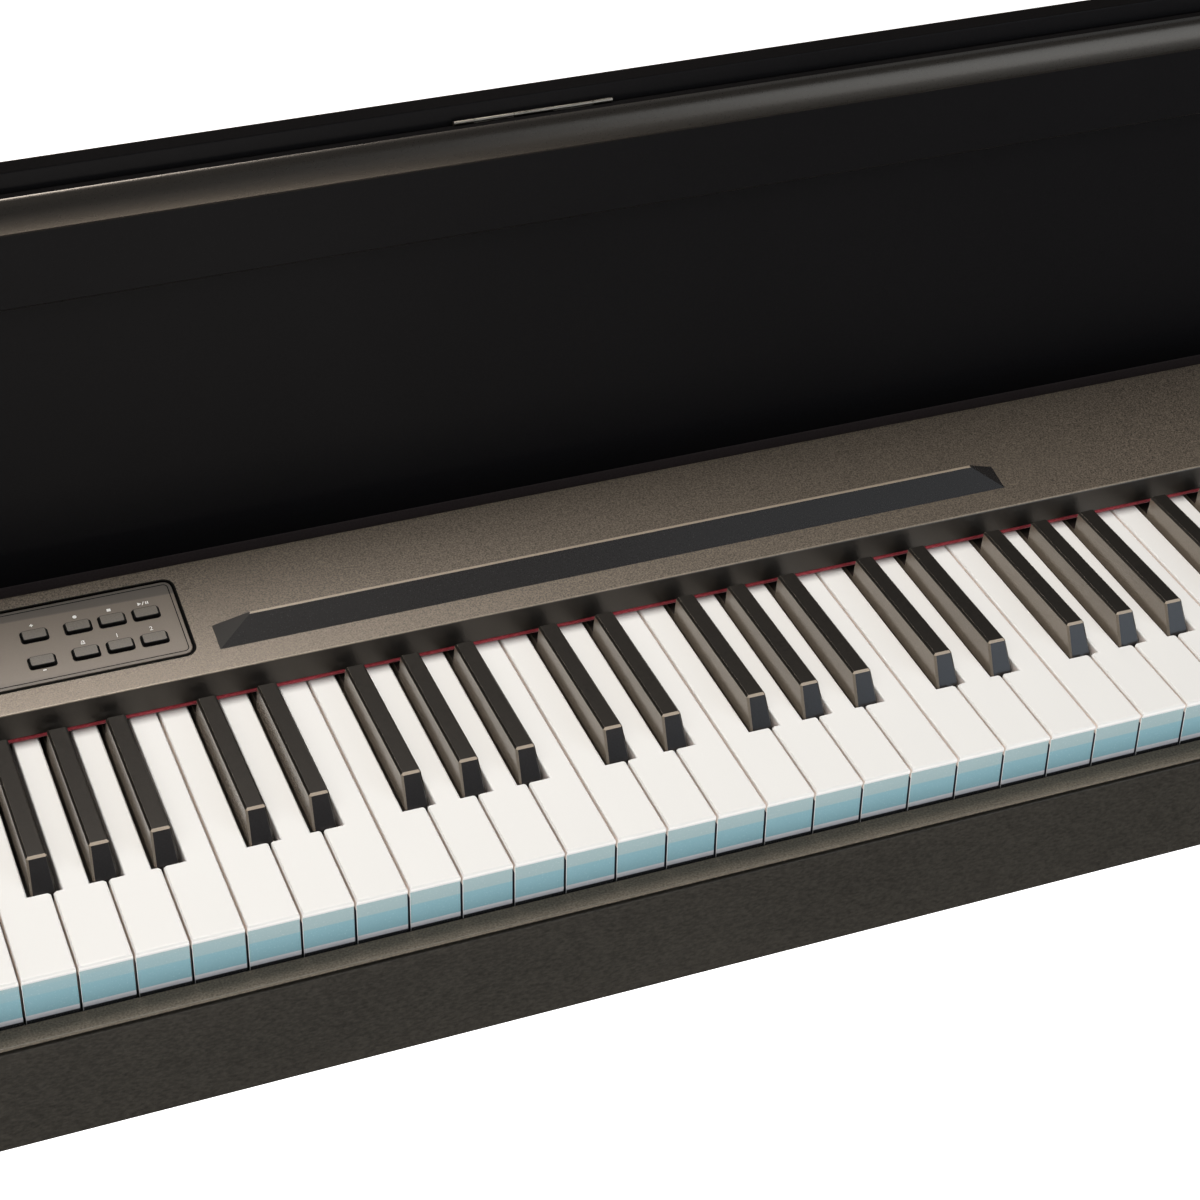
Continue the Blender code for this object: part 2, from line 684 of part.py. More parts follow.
def cheek(side, half):
    """The block beside the keys, and behind it the lower bracket that the panel's end stands on."""
    y0, y1 = KEY_FRONT_Y + FIT, KEY_FRONT_Y + WHITE_SHOW - FIT
    low, top = KEYBED_TOP - KEYBED_THICK / 2, KEY_TOP_Z + CHEEK_TOP
    near = KEYBOARD_X + CHEEK_GAP
    outline = rounded([(y0, low, 0), (y1, low, 0), (y1, top, 0), (y0, top, CHEEK_ROUND)])
    block = shifted(prism([outline], half - near, axis="X"), (side * (half + near) / 2, 0.0, 0.0))
    ends = sorted((side * near, side * (INNER_X - PANEL_SIDE)))
    seat = KEY_TOP_Z + PANEL_FOOT - FIT
    bracket = box((ends[0], y1 - FIT, low), (ends[1], y1 + BRACKET_END, seat))
    return combined(block, bracket, "UNION")


def speaker_hole(side):
    """The oval hole that a speaker hangs in."""
    mesh = rod((0, 0, KEYBED_BOTTOM - 0.01), (0, 0, KEYBED_TOP + 0.01), 1.0, sides=24)
    mesh.transform(Matrix.Diagonal((SPEAKER_LONG, SPEAKER_SHORT, 1.0, 1.0)))
    return shifted(mesh, (side * SPEAKER_X, KEY_FRONT_Y + SPEAKER_Y, 0.0))


def make_speakers():
    """Two oval speakers that hang in the key bed: a grille, a flange, a basket and a magnet in one turn."""
    deep = KEYBED_THICK + SPEAKER_DEPTH
    rim = KEYBED_THICK + FIT
    flange = 1.0 + SPEAKER_FLANGE / SPEAKER_SHORT
    throat = 1.0 - SPEAKER_CLEAR / SPEAKER_SHORT
    profile = [
        (0.0, deep),
        (MAGNET_SHARE, deep),
        (MAGNET_SHARE, deep - MAGNET_LENGTH),
        (NECK_SHARE, deep - MAGNET_LENGTH - NECK_LENGTH),
        (BASKET_SHARE, rim + FLANGE_THICK),
        (flange, rim + FLANGE_THICK),
        (flange, rim),
        (throat, rim),
        (throat, GRILLE_EDGE),
        (throat - 0.02, 0.0),
        (0.0, 0.0),
    ]
    speaker = turned(profile, 16)
    speaker.transform(Matrix.Diagonal((SPEAKER_LONG, SPEAKER_SHORT, 1.0, 1.0)))
    y = KEY_FRONT_Y + SPEAKER_Y
    for side, name in ((-1, "speaker_left"), (1, "speaker_right")):
        add_piece(name, speaker.copy(), BLACK_SATIN, 0.7, place=(side * SPEAKER_X, y, KEYBED_BOTTOM))


# Control panel


def panel_plane():
    """An empty on the panel's top front edge, turned so that Y runs up the slope."""
    place = (0.0, KEY_FRONT_Y + PANEL_FACE_Y, KEY_TOP_Z + PANEL_RISE)
    return add_axis("panel_plane", place, PANEL_SLOPE)


def panel_outline(inset):
    """Side outline of the panel, or of the hollow under it, drawn in by inset."""
    rise, run = math.sin(PANEL_SLOPE), math.cos(PANEL_SLOPE)
    edge_y, edge_z = KEY_FRONT_Y + PANEL_FACE_Y, KEY_TOP_Z + PANEL_RISE
    back_y, back_z = edge_y + PANEL_DEPTH * run, edge_z + PANEL_DEPTH * rise
    foot = KEY_TOP_Z + PANEL_FOOT
    round_off = PANEL_ROUND if inset == 0 else 0
    drop = inset / run
    skew = PANEL_LEAN * inset / (PANEL_RISE - PANEL_FOOT)
    floor = foot if inset == 0 else foot - 0.01
    return rounded(
        [
            (edge_y - PANEL_LEAN + inset - skew, floor, 0),
            (back_y - inset, floor, 0),
            (back_y - inset, back_z - drop - inset * math.tan(PANEL_SLOPE), round_off),
            (edge_y + inset, edge_z - drop + inset * math.tan(PANEL_SLOPE), round_off),
        ]
    )


def control_places():
    """The buttons as (name, x, v)."""
    upper = LOWER_ROW + ROW_PITCH
    columns = [RECORD_X + COLUMN_PITCH * k for k in range(3)]
    places = [("plus", PLUS_X, upper), ("minus", PLUS_X, LOWER_ROW)]
    places += [(n, x, upper) for n, x in zip(("record", "stop", "play"), columns)]
    places += [(n, x, LOWER_ROW) for n, x in zip(("metronome", "part_1", "part_2"), columns)]
    return places


def plate_outline(inset):
    """The control plate's rounded outline, drawn in by inset."""
    return rounded(
        [
            (PLATE_LEFT + inset, PLATE_V + inset, PLATE_CORNER - inset),
            (PLATE_RIGHT - inset, PLATE_V + inset, PLATE_CORNER - inset),
            (PLATE_RIGHT - inset, PLATE_V + PLATE_HEIGHT - inset, PLATE_CORNER - inset),
            (PLATE_LEFT + inset, PLATE_V + PLATE_HEIGHT - inset, PLATE_CORNER - inset),
        ]
    )


def make_panel(plane):
    """The moulded panel with its book ledge, the sunk control plate, and the felt under the front edge."""
    half = INNER_X - PANEL_SIDE
    middle_v = PLATE_V + PLATE_HEIGHT / 2
    panel = add_piece("top_panel", prism([panel_outline(0.0)], half * 2, axis="X"), PANEL_GREY, 0.6)
    carve(panel, prism([panel_outline(PANEL_WALL)], (half - PANEL_WALL) * 2, axis="X"))
    depth = PLATE_THICK + FIT
    pocket = prism([plate_outline(0.0)], depth * 2)
    carve(panel, pocket, parent=plane)
    through = [switch_hole(x, v, -PANEL_WALL * 2, depth) for _, x, v in control_places()]
    through += [
        rod((KNOB_X, middle_v, -PANEL_WALL * 2), (KNOB_X, middle_v, depth), SHAFT_RADIUS + BUTTON_CLEAR),
        rod((POWER_X, middle_v, -PANEL_WALL * 2), (POWER_X, middle_v, depth), POWER_RADIUS + BUTTON_CLEAR),
    ]
    carve(panel, joined(through), parent=plane)
    bosses = [
        rod((x, v, -PANEL_WALL / 2 - depth / 2), (x, v, FIT - BOARD_DROP), BOSS_RADIUS, sides=8)
        for x, v in boss_places()
    ]
    carve(panel, joined(bosses), "UNION", parent=plane)
    plate = shifted(prism([plate_outline(PLATE_GROOVE)], PLATE_THICK), (0.0, 0.0, -PLATE_THICK / 2))
    plate = add_piece("control_plate", plate, PLATE_BRONZE, 0.3, parent=plane)
    holes = [switch_hole(x, v, -PLATE_THICK * 3, PLATE_THICK * 3) for _, x, v in control_places()]
    holes += [
        rod((KNOB_X, middle_v, -depth * 2), (KNOB_X, middle_v, depth * 2), SHAFT_RADIUS + BUTTON_CLEAR),
        rod((POWER_X, middle_v, -depth * 2), (POWER_X, middle_v, depth * 2), POWER_RADIUS + BUTTON_CLEAR),
    ]
    carve(plate, joined(holes), parent=plane)
    carve(panel, ledge_mesh(), "UNION", parent=plane)
    y0 = KEY_FRONT_Y + PANEL_FACE_Y - PANEL_LEAN - FIT
    top = KEY_TOP_Z + PANEL_FOOT - FIT
    felt = box((-KEYBOARD_X, y0, top - FELT_THICK), (KEYBOARD_X, y0 + FELT_DEPTH, top))
    add_piece("felt_strip", felt, FELT_RED, 0.95)


def boss_places():
    """Where the panel's screw bosses stand on the circuit board."""
    ends = (PLATE_LEFT + 0.010, (PLATE_LEFT + PLATE_RIGHT) / 2 + 0.030, PLATE_RIGHT - 0.0045)
    rows = (PLATE_V + 0.005, PLATE_V + PLATE_HEIGHT - 0.005)
    return [(x, v) for x in ends for v in rows]


def switch_hole(x, v, low, high):
    """The cutter for one button's hole."""
    half_x, half_v = BUTTON_WIDTH / 2 + BUTTON_CLEAR, BUTTON_DEPTH / 2 + BUTTON_CLEAR
    return box((x - half_x, v - half_v, low), (x + half_x, v + half_v, high))


def ledge_mesh():
    """A low wedge with slanted ends, steep at its back."""
    shape = bmesh.new()
    bmesh.ops.create_cube(shape, size=1.0)
    sink = PANEL_WALL / 3
    low = -sink / LEDGE_HEIGHT      # the same slopes go on below the panel's face
    for vert in shape.verts:
        share = 1.0 if vert.co.z > 0 else low
        right, back = vert.co.x > 0, vert.co.y > 0
        vert.co.x = LEDGE_RIGHT - LEDGE_FACETS[1] * share if right else LEDGE_LEFT + LEDGE_FACETS[0] * share
        vert.co.y = LEDGE_V + (LEDGE_DEPTH if back else (LEDGE_DEPTH - LEDGE_FLAT) * share)
        vert.co.z = LEDGE_HEIGHT * share
    return mesh_from(shape)


def make_controls(plane):
    """The eight buttons, the power button, the volume knob, and the switch board under them."""
    floor = -PANEL_WALL
    board_top = -BOARD_DROP
    switch_top = floor - FIT - BUTTON_FLANGE - BUTTON_TRAVEL * 2 - FIT
    middle_v = PLATE_V + PLATE_HEIGHT / 2
    solids = []
    for name, x, v in control_places():
        cap = box(
            (-BUTTON_WIDTH / 2, -BUTTON_DEPTH / 2, floor - FIT - BUTTON_FLANGE),
            (BUTTON_WIDTH / 2, BUTTON_DEPTH / 2, BUTTON_PROUD),
        )
        cap = add_piece(f"button_{name}", cap, PANEL_GREY, 0.6, place=(x, v, 0.0), parent=plane)
        wide = BUTTON_WIDTH / 2 + BUTTON_CLEAR * 2
        deep = BUTTON_DEPTH / 2 + BUTTON_CLEAR * 2
        under = floor - FIT
        carve(cap, box((-wide, -deep, under - BUTTON_FLANGE), (wide, deep, under)), "UNION", parent=cap)
        soften(cap, 0.0005)
        half = SWITCH_SIZE / 2
        solids.append(box((x - half, v - half, board_top - FIT), (x + half, v + half, switch_top)))
    under = floor - FIT
    profile = [
        (0.0, BUTTON_PROUD),
        (POWER_RADIUS - 0.0006, BUTTON_PROUD),
        (POWER_RADIUS, BUTTON_PROUD - 0.0006),
        (POWER_RADIUS, under),
        (POWER_RADIUS + 0.0012, under),
        (POWER_RADIUS + 0.0012, under - BUTTON_FLANGE),
        (0.0, under - BUTTON_FLANGE),
    ]
    power = turned(profile, 16)
    add_piece("power_button", power, PANEL_GREY, 0.6, place=(POWER_X, middle_v, 0.0), parent=plane)
    half = SWITCH_SIZE / 2
    solids.append(
        box((POWER_X - half, middle_v - half, board_top - FIT), (POWER_X + half, middle_v + half, switch_top))
    )
    profile = [
        (0.0, KNOB_HEIGHT),
        (KNOB_RADIUS - 0.0020, KNOB_HEIGHT),
        (KNOB_RADIUS - 0.0008, KNOB_HEIGHT - 0.0008),
        (KNOB_RADIUS, FIT),
        (SHAFT_RADIUS, FIT),
        (SHAFT_RADIUS, floor - FIT),
        (0.0, floor - FIT),
    ]
    knob = turned(profile, 20)
    add_piece("volume_knob", knob, KEY_BLACK, 0.45, place=(KNOB_X, middle_v, 0.0), parent=plane)
    pot = SWITCH_SIZE
    solids.append(
        box((KNOB_X - pot, middle_v - pot, board_top - FIT), (KNOB_X + pot, middle_v + pot, floor - FIT * 2))
    )
    edge = 0.003
    board = box(
        (PLATE_LEFT + edge, PLATE_V + edge / 2, board_top - BOARD_THICK),
        (PLATE_RIGHT + edge / 2, PLATE_V + PLATE_HEIGHT - edge / 2, board_top),
    )
    add_piece("switch_board", combined(board, joined(solids), "UNION"), BOARD_GREEN, 0.5, parent=plane)


# Lid


def make_lid(axis):
    """The lid board and its two arms with axles, drawn closed."""
    low, high = LID_OFFSET, LID_OFFSET + LID_THICK
    corners = [
        (-LID_REACH, low, LID_EDGE / 2),
        (LID_TAIL, low, LID_ROUND - FIT),
        (LID_TAIL, high, LID_ROUND - FIT),
        (-LID_REACH, high, LID_EDGE),
    ]
    board = prism([rounded(corners, 4)], LID_HALF * 2, axis="X")
    lid = add_piece("lid_board", board, BLACK_SATIN, 0.35, parent=axis)
    inner = INNER_X - PANEL_SIDE + ARM_GAP
    add_piece("lid_arm_left", arm_mesh(-1, inner), STEEL, 0.4, 1.0, parent=axis)
    add_piece("lid_arm_right", arm_mesh(1, inner), STEEL, 0.4, 1.0, parent=axis)
    return lid


def arm_mesh(side, inner):
    """A steel bracket: a plate down to the pivot, a flange under the lid and an axle into the side panel."""
    top = LID_OFFSET - FIT
    outline = rounded(
        [
            (-ARM_HALF, top, 0),
            (-ARM_HALF, top - ARM_BOSS, 0.004),
            (-ARM_BOSS, -ARM_BOSS, ARM_BOSS * 0.9),
            (ARM_BOSS, -ARM_BOSS, ARM_BOSS * 0.9),
            (ARM_HALF, top - ARM_BOSS, 0.004),
            (ARM_HALF, top, 0),
        ]
    )
    plate = shifted(prism([outline], ARM_THICK, axis="X"), (inner + ARM_THICK / 2, 0.0, 0.0))
    flange = box((inner + ARM_THICK / 2, -ARM_HALF, top - ARM_FLANGE), (LID_HALF, ARM_HALF, top))
    axle = rod((inner + ARM_THICK / 2, 0, 0), (INNER_X + AXLE_BORE - FIT, 0, 0), AXLE_RADIUS, sides=16)
    arm = combined(combined(plate, flange, "UNION"), axle, "UNION")
    if side < 0:
        arm.transform(Matrix.Rotation(math.pi, 4, "Z") @ Matrix.Scale(-1, 4, (0, 1, 0)))
        arm.flip_normals()
    return arm


def hinge_leaf(low, high, lid_side):
    """One leaf of a butt hinge, from the pin's axis, between two heights. The lid's leaf holds the pin."""
    leaf = box((FIT - HINGE_LENGTH / 2, 0.0, low), (HINGE_LENGTH / 2 - FIT, HINGE_WIDTH, high))
    barrel = rod((-HINGE_LENGTH / 2, 0, 0), (HINGE_LENGTH / 2, 0, 0), BARREL_RADIUS, sides=8)
    leaf = combined(leaf, barrel, "UNION")
    if lid_side:
        side = HINGE_LENGTH / 2 - FIT * 2
        web = box((-side, FIT / 2, 0.0), (side, BARREL_RADIUS - FIT / 3, (low + high) / 2))
        leaf = combined(leaf, web, "UNION")
    else:
        bore = rod((-HINGE_LENGTH, 0, 0), (HINGE_LENGTH, 0, 0), PIN_BORE, sides=6)
        leaf = combined(leaf, bore, "DIFFERENCE")
    reach = BARREL_RADIUS + FIT
    for k, (first, last) in enumerate(zip(KNUCKLE_ENDS, KNUCKLE_ENDS[1:])):
        if (k % 2 == 0) == lid_side:
            continue
        start = HINGE_LENGTH * (first - 0.5) - (FIT / 2 if first > 0 else HINGE_LENGTH)
        end = HINGE_LENGTH * (last - 0.5) + (FIT / 2 if last < 1 else HINGE_LENGTH)
        gap = box((start, -reach, -HINGE_WIDTH), (end, reach, HINGE_WIDTH))
        leaf = combined(leaf, gap, "DIFFERENCE")
    if lid_side:
        end = HINGE_LENGTH / 2 - HINGE_LEAF
        leaf = combined(leaf, rod((-end, 0, 0), (end, 0, 0), PIN_RADIUS, sides=6), "UNION")
    return leaf


def make_flap(lid_axis, lid):
    """The folding front flap with its rounded nose, drawn folded under the closed lid, and its hinges."""
    place = (0.0, -LID_REACH + FLAP_SETBACK, LID_OFFSET - HINGE_DROP)
    axis = add_axis("flap_axis", place, parent=lid_axis)
    back = HINGE_DROP - FOLD_GAP
    start = BARREL_RADIUS + FIT
    face = back - NOSE_THICK
    drop = NOSE_THICK - NOSE_SHOULDER
    turns = [math.pi / 2 * k / 6 for k in range(7)]
    nose = [(start + NOSE_RUN * (1 - math.cos(t)), face + drop * (1 - math.sin(t)), 0) for t in turns]
    corners = [
        (start, back, 0),
        *nose,
        (NOSE_LENGTH, face, 0.0006),
        (NOSE_LENGTH + 0.0008, back - FLAP_THICK, 0),
        (FLAP_LENGTH, back - FLAP_THICK, FLAP_EDGE),
        (FLAP_LENGTH, back, FLAP_EDGE / 2),
    ]
    width = (LID_HALF - LID_SIDE_GAP) * 2
    board = prism([rounded(corners, 4)], width, axis="X")
    flap = add_piece("lid_flap", board, BLACK_BROWN, 0.5, parent=axis)
    upper = hinge_leaf(HINGE_DROP - HINGE_LEAF, HINGE_DROP + HINGE_LEAF, True)
    lower = hinge_leaf(back - HINGE_LEAF, back + HINGE_LEAF, False)
    carve(lid, joined([shifted(upper, (x, 0, 0)) for x in HINGE_PLACES]), "UNION", parent=axis)
    carve(flap, joined([shifted(lower, (x, 0, 0)) for x in HINGE_PLACES]), "UNION", parent=axis)


# Cabinet


def side_outline():
    """Side panel: a head round the keyboard, a leg set back from it, and a foot."""
    head_low = KEYBED_BOTTOM - HEAD_DROP
    leg = FRONT_Y + LEG_FRONT
    foot_y = FRONT_Y + FOOT_SETBACK
    foot_top = GLIDE_HEIGHT + FOOT_HEIGHT
    return rounded(
        [
            (FRONT_Y, CLOSED_TOP, 0.004),
            (FRONT_Y, head_low, 0.012),
            (leg, head_low, HEAD_CURVE),
            (leg, foot_top, FOOT_CURVE),
            (foot_y, foot_top, 0.012),
            (foot_y, GLIDE_HEIGHT, 0.003),
            (BACK_Y, GLIDE_HEIGHT, 0.003),
            (BACK_Y, CLOSED_TOP, 0.003),
        ]
    )


def make_sides():
    """Two side panels, each with a blind bore for the lid's axle and two rubber glides."""
    for side, name in ((-1, "side_panel_left"), (1, "side_panel_right")):
        board = prism([side_outline()], SIDE_THICK, axis="X")
        board = shifted(board, (side * (INNER_X + SIDE_THICK / 2), 0.0, 0.0))
        board = add_piece(name, board, BLACK_BROWN, 0.5)
        soften(board, SIDE_EDGE)
        start = (side * (INNER_X - AXLE_BORE), PIVOT_Y, PIVOT_Z)
        end = (side * (INNER_X + AXLE_BORE), PIVOT_Y, PIVOT_Z)
        carve(board, rod(start, end, AXLE_RADIUS + AXLE_CLEAR, sides=16))
        x = side * (INNER_X + SIDE_THICK / 2)
        for y in (FRONT_Y + GLIDE_INSET, BACK_Y - GLIDE_INSET):
            carve(board, rod((x, y, 0.0), (x, y, GLIDE_HEIGHT * 2), GLIDE_RADIUS, sides=16), "UNION")


def make_back():
    """The back panel with its floor lip and socket window, the fixed board behind the lid and its stops."""
    half = INNER_X - FIT
    inner = BACK_Y - BACK_THICK
    rear_low = KEY_TOP_Z + LID_OVER_KEYS + FIT
    outline = [
        (KEYBED_BACK + FIT, KEYBED_BOTTOM),
        (BACK_Y, KEYBED_BOTTOM),
        (BACK_Y, rear_low - FIT),
        (inner, rear_low - FIT),
        (inner, KEYBED_BOTTOM + BACK_LIP),
        (KEYBED_BACK + FIT, KEYBED_BOTTOM + BACK_LIP),
    ]
    panel = add_piece("back_panel", prism([outline], half * 2, axis="X"), BLACK_BROWN, 0.6)
    wide, high = SOCKET_BLOCK[0] / 2 + WINDOW_CLEAR / 2, SOCKET_BLOCK[2] / 2 + WINDOW_CLEAR / 2
    z = KEY_TOP_Z - SOCKET_DROP
    carve(panel, box((SOCKET_X - wide, inner - 0.01, z - high), (SOCKET_X + wide, BACK_Y + 0.01, z + high)))
    lid_back = PIVOT_Y + LID_TAIL
    front = lid_back + REAR_BOARD_GAP
    corners = [
        (front + REAR_BOARD_UNDERCUT, rear_low, 0),
        (BACK_Y, rear_low, 0),
        (BACK_Y, CLOSED_TOP, 0.002),
        (front, CLOSED_TOP, 0.0012),
        (front, CLOSED_TOP - REAR_BOARD_LAND, 0),
    ]
    rear = add_piece("rear_top_board", prism([rounded(corners, 2)], half * 2, axis="X"), BLACK_BROWN, 0.5)
    run = 1.0 / math.cos(LID_LEAN)
    stop_z = CLOSED_TOP - STOP_RADIUS - 0.0007
    level = stop_z - STOP_RADIUS * 0.3 - PIVOT_Z
    reach = (LID_OFFSET + LID_THICK) * run + level * math.tan(LID_LEAN)
    pads = [
        rod((x, PIVOT_Y + reach + FIT * 1.5, stop_z), (x, front + STOP_RADIUS, stop_z), STOP_RADIUS, sides=10)
        for x in (-STOP_SPREAD, 0.0, STOP_SPREAD)
    ]
    carve(rear, joined(pads), "UNION")
    y0, y1 = BACK_Y - STAND_BACK_INSET - STAND_BACK_THICK, BACK_Y - STAND_BACK_INSET
    board = box((-half, y0, STAND_BACK[0]), (half, y1, STAND_BACK[1]))
    soften(add_piece("stand_back_board", board, BLACK_BROWN), SIDE_EDGE)


def make_sockets():
    """A block of three round sockets in the back panel's window, on a board behind it."""
    wide, deep, high = SOCKET_BLOCK
    z = KEY_TOP_Z - SOCKET_DROP
    face = BACK_Y - 0.001
    block = box((SOCKET_X - wide / 2, face - deep, z - high / 2), (SOCKET_X + wide / 2, face, z + high / 2))
    bores = []
    for k in range(SOCKET_COUNT):
        x = SOCKET_X + SOCKET_PITCH * (k - (SOCKET_COUNT - 1) / 2)
        bores.append(rod((x, face - SOCKET_DEPTH, z), (x, face + 0.01, z), SOCKET_RADIUS, sides=12))
    block = combined(block, joined(bores), "DIFFERENCE")
    board_y = face - deep
    edge = 0.010
    board = box(
        (SOCKET_X - wide / 2 - edge, board_y - BOARD_THICK, z - high / 2 - edge),
        (SOCKET_X + wide / 2 + edge, board_y + FIT, z + high / 2 + edge),
    )
    add_piece("socket_block", combined(block, board, "UNION"), KEY_BLACK, 0.5)


# Pedals


def pedal_spots():
    """The pedals as (name, x)."""
    return [(n, PEDAL_SPACING * k) for n, k in (("left", -1), ("middle", 0), ("right", 1))]


def make_pedal_box():
    """The cross beam, and the hollow box in its middle with three slots and the pedals' rod."""
    half = INNER_X - FIT
    y0 = KEY_FRONT_Y + BEAM_Y
    beam = box((-half, y0, BEAM_BOTTOM), (half, y0 + BEAM_THICK, BEAM_TOP))
    beam = add_piece("pedal_box", beam, BLACK_BROWN, 0.5)
    front, back = KEY_FRONT_Y + BOX_FRONT, KEY_FRONT_Y + BOX_BACK
    top = BEAM_TOP + BOX_WALL * 2
    carve(beam, box((-BOX_HALF, front, BEAM_BOTTOM), (BOX_HALF, back, top)), "UNION")
    hollow = box(
        (-BOX_HALF + BOX_WALL, front + BOX_WALL, BEAM_BOTTOM + BOX_WALL),
        (BOX_HALF - BOX_WALL, back - BOX_WALL, top - BOX_WALL),
    )
    carve(beam, hollow)
    reach = PEDAL_PIVOT_Y - BOX_FRONT
    slot_top = PEDAL_TOP_Z + PEDAL_CLEAR
    slot_low = PEDAL_TOP_Z - PEDAL_THICK - reach * math.sin(PEDAL_TRAVEL) - PEDAL_CLEAR
    wide = PEDAL_ARM / 2 + PEDAL_CLEAR
    slots = [
        box((x - wide, front - 0.01, slot_low), (x + wide, front + BOX_WALL * 2, slot_top))
        for _, x in pedal_spots()
    ]
    carve(beam, joined(slots))
    y, z = KEY_FRONT_Y + PEDAL_PIVOT_Y, PEDAL_TOP_Z - PEDAL_THICK / 2
    reach_x = BOX_HALF - BOX_WALL / 2
    carve(beam, rod((-reach_x, y, z), (reach_x, y, z), PEDAL_ROD), "UNION")
    y = KEY_FRONT_Y + (BOX_FRONT + BOX_BACK) / 2
    carve(beam, rod((0, y, 0.0), (0, y, BEAM_BOTTOM + BOX_WALL / 2), FOOT_RADIUS, sides=16), "UNION")


def make_pedals():
    """Three pedals on one rod: a straight arm that flares to a rounded toe."""
    toe, arm = PEDAL_TOE / 2, PEDAL_ARM / 2
    tail = PEDAL_ROD * 2
    half = PEDAL_THICK / 2
    plan = rounded(
        [
            (arm, tail, 0.002),
            (-arm, tail, 0.002),
            (-arm, -PEDAL_REACH + PEDAL_FLARE, 0.03),
            (-toe, -PEDAL_REACH + PEDAL_TOE * 0.8, 0.02),
            (-toe, -PEDAL_REACH, toe * 0.9),
            (toe, -PEDAL_REACH, toe * 0.9),
            (toe, -PEDAL_REACH + PEDAL_TOE * 0.8, 0.02),
            (arm, -PEDAL_REACH + PEDAL_FLARE, 0.03),
        ],
        4,
    )
    side = rounded(
        [
            (tail * 2, half, 0),
            (tail * 2, -half, 0),
            (-PEDAL_REACH + PEDAL_FLARE, -half, 0.1),
            (-PEDAL_REACH * 1.5, -half * 2.4, 0),
            (-PEDAL_REACH * 1.5, -half * 0.4, 0),
            (-PEDAL_REACH + PEDAL_FLARE, half, 0.1),
        ]
    )
    solid = combined(prism([plan], PEDAL_THICK * 6), prism([side], PEDAL_TOE * 2, axis="X"), "INTERSECT")
    bore = rod((-PEDAL_TOE, 0, 0), (PEDAL_TOE, 0, 0), PEDAL_ROD + FIT)
    solid = combined(solid, bore, "DIFFERENCE")
    place_y, place_z = KEY_FRONT_Y + PEDAL_PIVOT_Y, PEDAL_TOP_Z - PEDAL_THICK / 2
    for name, x in pedal_spots():
        add_piece(f"pedal_{name}", solid.copy(), BRASS, 0.25, 1.0, place=(x, place_y, place_z))


def build():
    """Makes every piece."""
    clear_scene()
    make_sides()
    make_front()
    make_key_frame()
    make_keys()
    make_speakers()
    plane = panel_plane()
    bpy.context.view_layer.update()
    make_panel(plane)
    make_controls(plane)
    lid_axis = add_axis("lid_axis", (0.0, PIVOT_Y, PIVOT_Z), -(math.pi / 2 + LID_LEAN))
    lid = make_lid(lid_axis)
    make_flap(lid_axis, lid)
    make_back()
    make_sockets()
    make_pedal_box()
    make_pedals()
    bpy.context.view_layer.update()


build()
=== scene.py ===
"""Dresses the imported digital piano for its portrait.

Every finish is procedural and reads object coordinates, so it stays on its piece. Each sub-assembly is a
class that holds its own sizes in metres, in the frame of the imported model: +X to the treble end, +Y to the
wall, +Z up, with the origin on the floor.
"""

from __future__ import annotations

import json
import logging
import math
from collections.abc import Callable, Iterable, Sequence
from dataclasses import dataclass

import bmesh
import bpy
from bmesh.types import BMEdge, BMesh, BMFace
from bpy.types import Material, NodeSocket, Object
from mathutils import Matrix, Vector

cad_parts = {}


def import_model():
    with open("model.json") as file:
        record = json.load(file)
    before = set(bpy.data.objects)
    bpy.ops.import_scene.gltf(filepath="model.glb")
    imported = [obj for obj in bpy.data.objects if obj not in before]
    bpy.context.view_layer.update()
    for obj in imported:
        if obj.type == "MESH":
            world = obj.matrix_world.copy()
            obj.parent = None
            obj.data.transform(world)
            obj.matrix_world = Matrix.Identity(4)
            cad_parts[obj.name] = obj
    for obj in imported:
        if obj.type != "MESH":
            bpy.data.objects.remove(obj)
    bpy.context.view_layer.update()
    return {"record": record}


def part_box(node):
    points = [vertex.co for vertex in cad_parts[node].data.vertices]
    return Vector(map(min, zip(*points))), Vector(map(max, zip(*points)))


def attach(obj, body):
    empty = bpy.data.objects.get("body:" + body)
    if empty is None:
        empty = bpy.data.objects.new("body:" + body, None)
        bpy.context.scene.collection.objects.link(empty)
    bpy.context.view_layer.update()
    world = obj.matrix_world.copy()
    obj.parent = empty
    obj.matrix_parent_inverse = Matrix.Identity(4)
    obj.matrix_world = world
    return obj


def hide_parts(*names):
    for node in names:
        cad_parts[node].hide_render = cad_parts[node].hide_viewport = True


LOG = logging.getLogger("piano")
Colour = tuple[float, float, float]


def paint(red: float, green: float, blue: float) -> Colour:
    """Turns a colour as seen on a screen (0 to 255) into the linear one that the shaders take."""
    parts = []
    for value in (red, green, blue):
        level = value / 255
        parts.append(level / 12.92 if level <= 0.04045 else ((level + 0.055) / 1.055) ** 2.4)
    return parts[0], parts[1], parts[2]


# ---------------------------------------------------------------------------------------------- finishes


